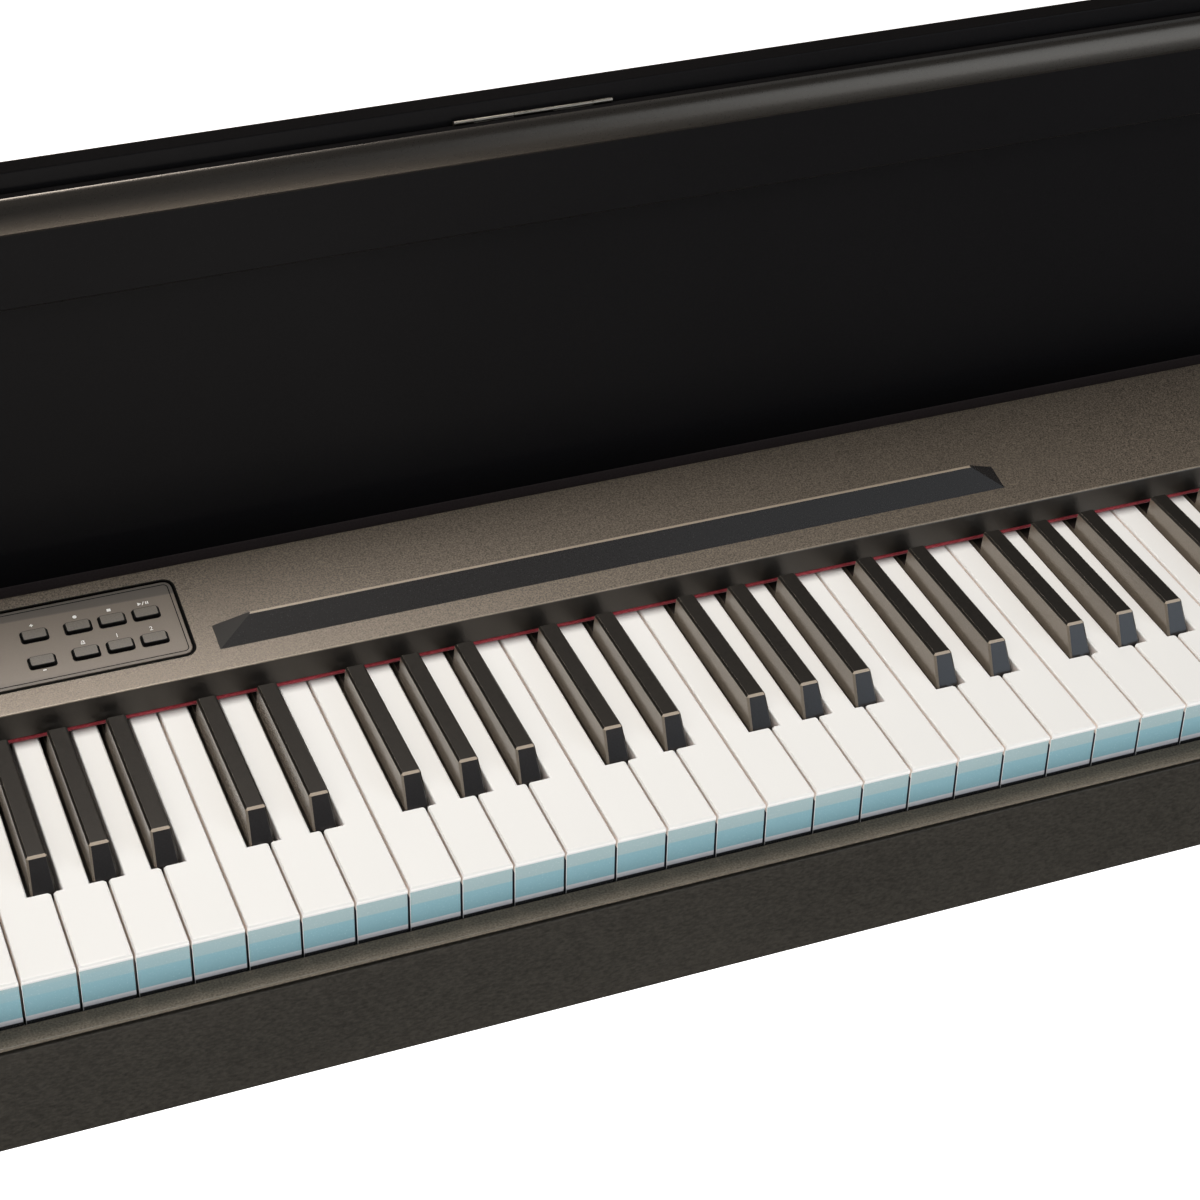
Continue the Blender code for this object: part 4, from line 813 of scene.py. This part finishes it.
        bar(-0.2798, upper, 0.0017, 0.0005)
        bar(-0.2798, upper, 0.0005, 0.0017)
        bar(-0.2798, 0.0270 - 0.0050, 0.0015, 0.0005)
        dot(-0.25975, upper, 0.00095)
        bar(-0.24385, upper, 0.0018, 0.0016)
        added(signs, disc(0.00115, thick, 3), self.plane(-0.2297, upper) @ Matrix.Rotation(-math.pi / 2, 4, "Z"))
        bar(-0.2278, upper, 0.0004, 0.0022, math.radians(-25))
        bar(-0.2264, upper, 0.0005, 0.0016)
        bar(-0.2255, upper, 0.0005, 0.0016)
        self.metronome_sign(bar, -0.25975, lower)
        self.figure(signs, "1", -0.24385, lower, thick)
        self.figure(signs, "2", -0.22795, lower, thick)
        for k in range(11):
            turn = math.radians(-135 + 27 * k)
            x, v = self.knob_x + 0.0118 * math.sin(turn), self.middle + 0.0118 * math.cos(turn)
            bar(x, v, 0.0004, 0.0016 if k in (0, 5, 10) else 0.0010, -turn)
        x, v = self.power_x, self.middle + 0.0085
        for k in range(12):
            turn = math.radians(-150 + 300 * k / 11)
            bar(x - 0.0013 * math.sin(turn), v - 0.0013 * math.cos(turn), 0.0008, 0.00035, -turn)
        bar(x, v + 0.0011, 0.00035, 0.0016)
        set_out("panel_signs", signs, [looks.print_white], "cabinet", weighted=False)

    @staticmethod
    def metronome_sign(bar: Callable[..., None], x: float, v: float) -> None:
        """A small pyramid with its swinging rod."""
        bar(x, v - 0.0009, 0.0018, 0.00035)
        bar(x - 0.00065, v, 0.00030, 0.0019, math.radians(-14))
        bar(x + 0.00065, v, 0.00030, 0.0019, math.radians(14))
        bar(x, v + 0.0009, 0.0010, 0.00030)
        bar(x + 0.0003, v + 0.0002, 0.00028, 0.0018, math.radians(-32))

    def figure(self, shape: BMesh, sign: str, x: float, v: float, thick: float) -> None:
        """A printed digit."""
        curve = bpy.data.curves.new("figure", "FONT")
        curve.body = sign
        curve.size = 0.0034
        curve.align_x = "CENTER"
        curve.align_y = "CENTER"
        curve.extrude = thick / 2
        holder = bpy.data.objects.new("figure", curve)
        mesh = bpy.data.meshes.new_from_object(holder)
        mesh.transform(self.plane(x, v, thick / 2))
        shape.from_mesh(mesh)
        bpy.data.objects.remove(holder)
        bpy.data.meshes.remove(mesh)

    def build_buttons(self, looks: Looks) -> None:
        """The button caps with rounded corners and sides in painted shade, a ring of painted shade round each, the
        power button and the knob.
        """
        rings = bmesh.new()
        for name in ("plus", "minus", "record", "stop", "play", "metronome", "part_1", "part_2"):
            node = f"button_{name}"
            cad = merged(node)
            places = [self.flat(vert.co) for vert in cad.verts]
            cad.free()
            cap = bmesh.new()
            for part, low, high, round_by in (("stem", -0.0029, 0.0017, 0.0011), ("flange", -0.0044, -0.0032, 0.0011)):
                ring = [at for at in places if low < at.z < high + 0.0001]
                corners = [[pick(at[k] for at in ring) for k in range(3)] for pick in (min, max)]
                piece = block(*corners)
                upright = [e for e in piece.edges if abs(e.verts[0].co.z - e.verts[1].co.z) > 0.0005]
                round_off(piece, upright, round_by, 4)
                if part == "stem":
                    rim = [e for e in piece.edges if all(v.co.z > corners[1][2] - 0.00001 for v in e.verts)]
                    round_off(piece, rim, 0.00042, 2)
                added(cap, piece)
            # each cap's top keeps its colour; its rim, sides and flange are near black, a painted shade
            for face in cap.faces:
                face.material_index = 0 if face.normal.z > 0.98 and face.calc_center_median().z > 0.0 else 1
            bmesh.ops.transform(cap, matrix=self.plane(), verts=cap.verts)
            set_out(f"{node}_cap", cap, [looks.button, looks.button_side_shade], node, [node])
            # a dark ring round each cap: painted shade in the gap beside it
            spread = [sorted(at[k] for at in places if -0.0029 < at.z) for k in range(2)]
            across, along = ((span[0] - 0.00085, span[-1] + 0.00085) for span in spread)
            added(rings, self.loop(across, along, 0.0018, 0.00095, 0.00003))
        bmesh.ops.transform(rings, matrix=self.plane(), verts=rings.verts)
        set_out("button_shade_rings", rings, [looks.groove], "cabinet", weighted=False)
        power = merged("power_button")
        round_off(power, sharp(power, None, 35.0), 0.00015, 2)
        set_out("power_button_cap", power, [looks.button], "power_button", ["power_button"])
        self.build_knob(looks)

    def build_knob(self, looks: Looks) -> None:
        """The volume knob: a fluted skirt, a dished top and a white pointer."""
        knob = bmesh.new()
        profile = (
            (0.00848, 0.0004), (0.0083, 0.0050), (0.0079, 0.0068), (0.0072, 0.0074), (0.0058, 0.00745),
            (0.0050, 0.0071), (0.0, 0.0069),
        )
        verts = [knob.verts.new((r, 0.0, z)) for r, z in profile]
        edges = [knob.edges.new(pair) for pair in zip(verts, verts[1:])]
        bmesh.ops.spin(
            knob, geom=verts + edges, cent=(0, 0, 0), axis=(0, 0, 1), angle=math.tau, steps=96, use_merge=True
        )
        bmesh.ops.remove_doubles(knob, verts=knob.verts, dist=1e-6)
        for vert in knob.verts:
            radius = math.hypot(vert.co.x, vert.co.y)
            if radius > 0.0078 and vert.co.z < 0.0066:
                turn = math.atan2(vert.co.y, vert.co.x)
                cut = 1.0 - 0.035 * (0.5 + 0.5 * math.cos(turn * 24))
                vert.co.x *= cut
                vert.co.y *= cut
        low = [e for e in knob.edges if e.is_boundary]
        bmesh.ops.holes_fill(knob, edges=low, sides=200)
        bmesh.ops.recalc_face_normals(knob, faces=knob.faces)
        bmesh.ops.transform(knob, matrix=self.plane(self.knob_x, self.middle), verts=knob.verts)
        knob_piece = set_out(
            "volume_knob_turned", knob, [looks.black_plastic], "volume_knob", ["volume_knob"]
        )
        knob_piece.data.shade_smooth()
        mark = block((-0.00035, 0.0032, 0.0), (0.00035, 0.0074, 0.00006))
        bmesh.ops.transform(mark, matrix=self.plane(self.knob_x, self.middle, 0.00745), verts=mark.verts)
        set_out("volume_knob_mark", mark, [looks.print_white], "volume_knob", weighted=False)

    def build_display(self, looks: Looks) -> None:
        """A dark window in the plate with three unlit figures of seven bars."""
        left, right, low, high = -0.392, -0.332, 0.0215, 0.0540
        glass = block((left, low, 0.0), (right, high, 0.0003))
        upright = [e for e in glass.edges if abs(e.verts[0].co.z - e.verts[1].co.z) > 0.0001]
        round_off(glass, upright, 0.0015, 5)
        bmesh.ops.transform(glass, matrix=self.plane(), verts=glass.verts)
        set_out("display_window", glass, [looks.smoked], "cabinet")
        bars = bmesh.new()
        height, width, thin = 0.0150, 0.0085, 0.0012
        for k in range(3):
            middle = (left + right) / 2 + (k - 1) * 0.0150
            base = (low + high) / 2
            for v in (-height / 2, 0.0, height / 2):
                part = block((-width / 2 + thin, -thin / 2, 0.0), (width / 2 - thin, thin / 2, 0.00003))
                added(bars, part, self.plane(middle, base + v, 0.0003))
            for x in (-width / 2, width / 2):
                for v in (-height / 4, height / 4):
                    reach = height / 4 - thin * 0.8
                    part = block((-thin / 2, -reach, 0.0), (thin / 2, reach, 0.00003))
                    added(bars, part, self.plane(middle + x, base + v, 0.0003))
        set_out("display_figures", bars, [looks.segment], "cabinet", weighted=False)


# ---------------------------------------------------------------------------------------------- lid


@dataclass
class FoldingLid:
    """The lid board, its flap, their hinges and the two arms."""

    face_y: float = 0.0962
    face_z: float = 0.7344
    # the span and thickness of a lighter strip of painted light at the foot of the lid
    light_band_low: float = -0.0080
    light_band_high: float = 0.0024
    light_band_thick: float = 0.0006

    def build(self, looks: Looks) -> None:
        """Dresses the lid and its flap, with their hinge leaves in steel, painted shade on their top faces and a
        painted highlight along the lid's back top edge.
        """
        for node, body, finish, slot in (
            ("lid_board", "lid", looks.lacquer, "lid"),
            ("lid_flap", "flap", looks.flap, "flap"),
        ):
            shape = merged(node)
            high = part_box(node)[1]
            if node == "lid_board":
                round_off(shape, sharp(shape, lambda at: at.z > high.z - 0.004 and at.y > high.y - 0.006, 40.0), 0.0008, 3)
            for face in shape.faces:
                at = face.calc_center_median()
                inner = node == "lid_flap" and face.normal.y < -0.9 and at.z < 0.9150
                # the top faces of lid and flap take a darker, matt copy of the lacquer: painted shade
                upper = at.z > high.z - 0.006 and face.normal.z > (0.3 if node == "lid_board" else 0.85)
                # the rounded back top edge of the lid takes a painted highlight
                back = node == "lid_board" and at.y > high.y - 0.0030 and 0.1 < face.normal.z < 0.97
                if self.is_hinge(face):
                    face.material_index = 1
                elif back or inner:
                    face.material_index = 4 if back else 2
                else:
                    face.material_index = 3 if upper else 0
            finishes = [finish, looks.steel, looks.lacquer, looks.lid_edge, looks.lid_line_highlight]
            set_out(f"{node}_dressed", shape, finishes, body, [node])
        self.foot_light_band(looks)
        for node in ("lid_arm_left", "lid_arm_right"):
            arm = merged(node)
            round_off(arm, sharp(arm, lambda at: abs(at.x) < 0.6555, 40.0), 0.0004, 2)
            set_out(f"{node}_dressed", arm, [looks.black_metal], "lid", [node])

    def foot_light_band(self, looks: Looks) -> None:
        """A thin lighter strip along the foot of the lid's inner face, just above the panel's back edge: painted light
        in the dark crevice there.
        """
        lean = math.radians(6)
        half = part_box("lid_board")[1].x - 0.004
        strip = block((-half, -self.light_band_thick, self.light_band_low), (half, 0.0003, self.light_band_high))
        rim = [e for e in strip.edges if all(v.co.y < 0.0 for v in e.verts)]
        round_off(strip, rim, 0.0002, 2)
        foot = Matrix.Translation((0.0, self.face_y, self.face_z)) @ Matrix.Rotation(-lean, 4, "X")
        bmesh.ops.transform(strip, matrix=foot, verts=strip.verts)
        set_out("lid_foot_light_band", strip, [looks.light_band], "lid")

    @staticmethod
    def is_hinge(face: BMFace) -> bool:
        """Whether a face belongs to one of the three hinges."""
        at = face.calc_center_median()
        near = min(abs(at.x - spot) for spot in (-0.520, -0.012, 0.520))
        if near > 0.0400:
            return False
        return max(v.co.x for v in face.verts) - min(v.co.x for v in face.verts) < 0.081


# ---------------------------------------------------------------------------------------------- cabinet


@dataclass
class Cabinet:
    """The boards of the case and the stand, with what shows at the back and underneath."""

    back: float = 0.1755

    def build(self, looks: Looks) -> None:
        """Dresses the boards and adds the screws of the back panel."""
        for node, finish in (
            ("side_panel_left", looks.veneer_tall),
            ("side_panel_right", looks.veneer_tall),
            ("rear_top_board", looks.veneer_long),
            ("back_panel", looks.hardboard),
            ("stand_back_board", looks.veneer_long),
            ("pedal_box", looks.veneer_long),
        ):
            shape = merged(node)
            if node.startswith("side"):
                round_off(shape, sharp(shape, lambda at: at.z > 0.0125, 20.0), 0.0004, 2)
                for face in shape.faces:
                    low = min(v.co.z for v in face.verts)
                    face.material_index = 1 if low < 0.0119 else 0
            elif node == "pedal_box":
                for face in shape.faces:
                    face.material_index = 1 if min(v.co.z for v in face.verts) < 0.0235 else 0
            elif node == "rear_top_board":
                for face in shape.faces:
                    middle = face.calc_center_median()
                    pad = min(abs(middle.x - spot) for spot in (-0.45, 0.0, 0.45)) < 0.003
                    size = max(v.co.x for v in face.verts) - min(v.co.x for v in face.verts)
                    face.material_index = 1 if pad and size < 0.0055 else 0
            set_out(f"{node}_dressed", shape, [finish, looks.rubber], "cabinet", [node])
        screws = bmesh.new()
        for x in (-0.64, -0.48, -0.32, -0.16, 0.0, 0.16, 0.29, 0.44, 0.54, 0.64):
            for z in (0.650, 0.749):
                self.screw(screws, Vector((x, self.back, z)))
        set_out("back_screws", screws, [looks.black_metal], "cabinet")

    @staticmethod
    def screw(shape: BMesh, at: Vector) -> None:
        """A low round screw head, facing the wall."""
        head = disc(0.0032, 0.0006, 20, 0.0024)
        turn = Matrix.Translation(at - Vector((0, 0.0007, 0))) @ Matrix.Rotation(-math.pi / 2, 4, "X")
        added(shape, head, turn)


@dataclass
class Workings:
    """What lies in the case and in its bottom: key frame, boards, speakers, sockets and pedals."""

    def build(self, looks: Looks) -> None:
        """Dresses the pieces that only a look from behind, below or with keys down shows."""
        for node, finish, slot in (
            ("key_frame", looks.grey_metal, "chassis"),
            ("switch_board", looks.circuit, "circuit"),
        ):
            set_out(f"{node}_dressed", merged(node), [finish], "cabinet", [node])
        for node in ("speaker_left", "speaker_right"):
            shape = merged(node)
            for face in shape.faces:
                face.material_index = 1 if face.normal.z < -0.9 and face.calc_center_median().z < 0.6435 else 0
            set_out(f"{node}_dressed", shape, [looks.black_plastic, looks.mesh], "cabinet", [node])
        block_shape = merged("socket_block")
        set_out("socket_block_dressed", block_shape, [looks.black_plastic], "cabinet", ["socket_block"])
        rings = bmesh.new()
        for x in (0.335, 0.365, 0.395):
            ring = bmesh.new()
            verts = [ring.verts.new((r, 0.0, z)) for r, z in ((0.0034, 0.0), (0.0034, 0.0004), (0.0050, 0.0004), (0.0055, 0.0))]
            edges = [ring.edges.new((verts[k], verts[(k + 1) % 4])) for k in range(4)]
            bmesh.ops.spin(ring, geom=verts + edges, cent=(0, 0, 0), axis=(0, 0, 1), angle=math.tau, steps=32, use_merge=True)
            bmesh.ops.remove_doubles(ring, verts=ring.verts, dist=1e-7)
            bmesh.ops.recalc_face_normals(ring, faces=ring.faces)
            added(rings, ring, Matrix.Translation((x, 0.1745, 0.677)) @ Matrix.Rotation(-math.pi / 2, 4, "X"))
        set_out("socket_rings", rings, [looks.steel], "cabinet")
        for name in ("left", "middle", "right"):
            node = f"pedal_{name}"
            shape = merged(node)
            round_off(shape, sharp(shape, lambda at: at.y < 0.10, 35.0), 0.0012, 3)
            set_out(f"{node}_polished", shape, [looks.brass], node, [node])


# ---------------------------------------------------------------------------------------------- looks


class Looks:
    """The finishes that several sub-assemblies share."""

    def __init__(self) -> None:
        """Makes each shared material once."""
        self.moulded = Grained(
            "moulded_grain", paint(10, 9, 7), paint(96, 86, 74), 0.46,
            grain=1500.0, depth=0.00008, patch=1100.0, specular=0.8, spread=0.12, tint=(1.0, 0.86, 0.72),
            range=(0.38, 0.60),
        ).material()
        # painted highlight: a light warm colour on the rounded front edge of the panel
        self.panel_edge_highlight = Grained(
            "panel_edge_highlight", paint(112, 102, 89), paint(142, 130, 115), 0.34, grain=900.0, depth=0.00003, specular=0.7,
            tint=(1.0, 0.88, 0.76),
        ).material()
        # near black, used as painted shade in the pocket walls, in the groove round the plate and round the buttons,
        # and for a thin dark line inside the plate
        self.groove = Grained(
            "groove_black", paint(5, 5, 4), paint(9, 8, 7), 0.7, specular=0.05
        ).material()
        self.ledge_end = Grained(
            "ledge_end", paint(38, 35, 32), paint(44, 41, 38), 0.55, grain=1800.0, depth=0.0, specular=0.2
        ).material()
        # painted highlight: a light warm colour on the narrow top of the ledge
        self.crest_highlight = Grained(
            "ledge_crest", paint(136, 123, 107), paint(152, 138, 121), 0.40, grain=900.0, depth=0.0, specular=0.6,
            tint=(1.0, 0.88, 0.76),
        ).material()
        self.wall = Grained(
            "wall_satin", paint(20, 18, 16), paint(27, 24, 21), 0.34, grain=900.0, depth=0.00002, specular=0.8,
            tint=(1.0, 0.90, 0.80),
        ).material()
        self.ledge = Grained(
            "ledge_smooth", paint(32, 30, 29), paint(38, 36, 35), 0.26, grain=1800.0, depth=0.0, specular=0.5,
            spread=0.04,
        ).material()
        self.cap = Grained(
            "cap_grain", paint(76, 69, 60), paint(112, 103, 90), 0.68, grain=1000.0, depth=0.00010, spread=0.06,
            specular=0.2,
        ).material()
        # painted highlight: a lighter colour on the rounded front edge of the cap
        self.cap_edge_highlight = Grained(
            "cap_edge_highlight", paint(88, 79, 68), paint(112, 103, 90), 0.4, grain=900.0, depth=0.00002
        ).material()
        self.rail = Grained(
            "rail_grain", paint(34, 31, 26), paint(54, 50, 43), 0.5, grain=900.0, depth=0.00006,
            stretch=(0.5, 1.0, 1.0), specular=0.35,
        ).material()
        self.button = Grained(
            "button_grain", paint(74, 66, 56), paint(90, 81, 69), 0.5, grain=1500.0, depth=0.00003
        ).material()
        # near black: painted shade on the sides of the button caps
        self.button_side_shade = Grained("button_side_shade", paint(7, 7, 6), paint(12, 11, 10), 0.5, specular=0.15).material()
        self.black_plastic = Grained("black_plastic", paint(16, 15, 14), paint(24, 23, 21), 0.45).material()
        self.veneer_long = Veneer(
            "veneer_long", paint(34, 32, 28), paint(45, 42, 37), (0.02, 1.0, 1.0)
        ).material()
        self.veneer_tall = Veneer(
            "veneer_tall", paint(34, 32, 28), paint(45, 42, 37), (1.0, 1.0, 0.02)
        ).material()
        self.flap = Grained(
            "flap_satin", paint(17, 16, 15), paint(24, 22, 20), 0.28, grain=1600.0, depth=0.0, specular=0.7,
            spread=0.02,
            tint=(1.0, 0.88, 0.76),
        ).material()
        self.lacquer = Grained(
            "lid_lacquer", paint(18, 17, 18), paint(22, 21, 22), 0.38, grain=900.0, depth=0.0, spread=0.04,
            specular=0.06,
        ).material()
        # painted shade: a darker, matt copy of the lacquer for the top faces
        self.lid_edge = Grained("lid_edge", paint(15, 14, 14), paint(19, 18, 18), 0.85, specular=0.0).material()
        # painted highlight: a light warm colour along the lid's back top edge
        self.lid_line_highlight = Grained("lid_line_highlight", paint(128, 114, 100), paint(146, 132, 117), 0.4, specular=1.0).material()
        # painted light: a lighter band laid in the dark crevice at the foot of the lid
        self.light_band = Grained("light_band_matt", paint(54, 47, 47), paint(64, 56, 56), 0.7, specular=0.2).material()
        self.hardboard = Grained("hardboard_black", paint(30, 28, 26), paint(38, 35, 32), 0.6, grain=600.0).material()
        self.steel = Grained(
            "hinge_steel", paint(132, 125, 115), paint(154, 146, 135), 0.30, metallic=1.0, depth=0.00001,
            stretch=(0.1, 1.0, 1.0),
        ).material()
        self.black_metal = Grained("black_metal", paint(22, 22, 22), paint(30, 30, 30), 0.4, metallic=0.6).material()
        self.grey_metal = Grained("grey_metal", paint(120, 122, 124), paint(138, 140, 142), 0.45, metallic=0.7).material()
        self.brass = Grained(
            "pedal_brass", paint(206, 164, 92), paint(222, 184, 116), 0.20, metallic=1.0, grain=500.0,
            depth=0.000006, spread=0.05, stretch=(1.0, 0.15, 1.0),
        ).material()
        self.rubber = Grained("rubber_black", paint(20, 20, 20), paint(28, 28, 28), 0.8).material()
        self.circuit = Grained("circuit_green", paint(20, 84, 52), paint(26, 98, 62), 0.4, grain=300.0).material()
        self.smoked = Grained("smoked_glass", paint(8, 8, 9), paint(12, 12, 13), 0.10, depth=0.000002, spread=0.03).material()
        self.mesh = Mesh().material()
        self.print_white = Lamp("print_white", paint(232, 230, 226)).material()
        self.segment = Lamp("segment_dim", paint(46, 20, 18)).material()


# ---------------------------------------------------------------------------------------------- studio


@dataclass(frozen=True)
class Softbox:
    """A flat area light that faces a point."""

    name: str
    place: Colour
    target: Colour
    size: float
    power: float
    tint: Colour = (1.0, 1.0, 1.0)
    tall: float | None = None
    glossy: bool = True

    def build(self) -> None:
        """Hangs the light."""
        light = bpy.data.lights.new(self.name, "AREA")
        light.shape = "RECTANGLE"
        light.size = self.size
        light.size_y = self.tall or self.size
        light.energy = self.power
        light.color = self.tint
        holder = bpy.data.objects.new(self.name, light)
        holder.location = self.place
        aim = Vector(self.target) - Vector(self.place)
        holder.rotation_euler = aim.to_track_quat("-Z", "Y").to_euler()
        holder.visible_camera = False
        holder.visible_glossy = self.glossy
        bpy.context.scene.collection.objects.link(holder)


@dataclass
class Studio:
    """The floor, the lights and the camera."""

    ambient: float = 0.12
    gloom: float = 0.04
    haze: float = 0.70
    lamps: tuple[Softbox, ...] = (
        Softbox("key_softbox", (-1.7, -2.1, 3.6), (0.0, 0.0, 0.7), 2.4, 34.0, (1.0, 0.99, 0.98)),
        Softbox("back_softbox", (-0.19, 0.60, 2.40), (-0.3, 0.0, 0.73), 0.6, 31.5, (1.0, 0.97, 0.94)),
        Softbox("front_softbox", (0.1, -2.4, 0.33), (0.0, 0.0, 0.85), 2.6, 3.0, (1.0, 0.93, 0.84), 0.6, False),
        Softbox("nose_softbox", (-0.15, -1.6, 0.50), (-0.1, 0.1, 0.92), 1.2, 4.8, (1.0, 0.93, 0.84), 0.26),
        Softbox("cool_softbox", (1.8, -2.2, 1.7), (0.1, 0.0, 0.72), 1.6, 21.0, (0.80, 0.90, 1.0)),
        Softbox("side_softbox", (1.6, 0.0, 3.2), (0.3, 0.0, 0.72), 1.3, 2.4, (0.72, 0.86, 1.0)),
        Softbox("rim_softbox", (-0.1, 2.6, 1.0), (-0.2, 0.1, 0.94), 1.6, 5.0, (1.0, 0.90, 0.78), 0.8),
    )

    eye: tuple[float, float, float] = (-0.4185, -1.0011, 1.5068)
    yaw: float = 21.762
    pitch: float = 35.740
    roll: float = 1.272
    lens: float = 83.63
    sensor: float = 36.0

    def build(self) -> None:
        """Sets the studio up."""
        scene = bpy.context.scene
        scene.view_settings.view_transform = "Standard"
        scene.view_settings.look = "None"
        scene.view_settings.exposure = 0.0
        self.sky()
        self.floor()
        for lamp in self.lamps:
            lamp.build()
        self.camera()

    def sky(self) -> None:
        """A room with a white wall at the level of the horizon, dimmer overhead and dark below."""
        world = bpy.data.worlds.new("studio_world")
        world.use_nodes = True
        tree = world.node_tree
        place = tree.nodes.new("ShaderNodeTexCoord").outputs["Generated"]
        parts = tree.nodes.new("ShaderNodeSeparateXYZ")
        rise = tree.nodes.new("ShaderNodeMapRange")
        for name, value in (("From Min", -0.10), ("From Max", 0.40)):
            rise.inputs[name].default_value = value
        steps = tree.nodes.new("ShaderNodeValToRGB").color_ramp
        stops = ((0.10, self.gloom), (0.19, self.haze), (0.32, self.haze), (0.60, self.ambient))
        for _ in range(len(stops) - 2):
            steps.elements.new(0.5)
        for element, (place_of, strength) in zip(steps.elements, stops):
            element.position = place_of
            element.color = (strength, strength, strength, 1.0)
        ramp = next(node for node in tree.nodes if node.bl_idname == "ShaderNodeValToRGB")
        tree.links.new(place, parts.inputs["Vector"])
        tree.links.new(parts.outputs["Z"], rise.inputs["Value"])
        tree.links.new(rise.outputs["Result"], ramp.inputs["Fac"])
        tree.links.new(ramp.outputs["Color"], tree.nodes["Background"].inputs["Color"])
        tree.nodes["Background"].inputs["Strength"].default_value = 1.0
        bpy.context.scene.world = world

    def floor(self) -> None:
        """A wide pale floor."""
        shape = bmesh.new()
        bmesh.ops.create_grid(shape, x_segments=1, y_segments=1, size=14.0)
        mesh = bpy.data.meshes.new("studio_floor")
        shape.to_mesh(mesh)
        shape.free()
        mix = Mixer("studio_floor")
        soft = mix.noise(3.0, 2.0)
        mix.join(mix.ramp(soft, ((0.3, (0.93, 0.93, 0.93)), (0.7, (0.95, 0.95, 0.95)))), "Base Color")
        mix.set(Roughness=0.9, Emission_Color=(1.0, 1.0, 1.0), Emission_Strength=0.9)
        mesh.materials.append(mix.material)
        floor = bpy.data.objects.new("studio_floor", mesh)
        floor.location.z = -0.0002
        floor.visible_glossy = False
        bpy.context.scene.collection.objects.link(floor)

    def camera(self) -> None:
        """The camera at the photograph's angle."""
        yaw, pitch, roll = (math.radians(a) for a in (self.yaw, self.pitch, self.roll))
        forward = Vector((math.sin(yaw) * math.cos(pitch), math.cos(yaw) * math.cos(pitch), -math.sin(pitch)))
        level = Vector((math.cos(yaw), -math.sin(yaw), 0.0))
        upright = level.cross(forward)
        right = level * math.cos(roll) + upright * math.sin(roll)
        top = upright * math.cos(roll) - level * math.sin(roll)
        turn = Matrix((right, top, -forward)).transposed().to_4x4()
        data = bpy.data.cameras.new("portrait")
        data.lens = self.lens
        data.sensor_width = self.sensor
        data.clip_start = 0.05
        camera = bpy.data.objects.new("portrait", data)
        camera.matrix_world = Matrix.Translation(self.eye) @ turn
        bpy.context.scene.collection.objects.link(camera)
        bpy.context.scene.camera = camera


def main() -> None:
    """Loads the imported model, dresses each sub-assembly in order and sets up the studio."""
    logging.basicConfig(level=logging.INFO, format="%(message)s")
    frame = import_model()
    looks = Looks()
    Keyboard().build(frame["record"]["behaviour"]["bodies"])
    Front().build(looks)
    ControlPanel().build(looks)
    FoldingLid().build(looks)
    Cabinet().build(looks)
    Workings().build(looks)
    Studio().build()
    bpy.context.view_layer.update()


if __name__ == "__main__":
    main()
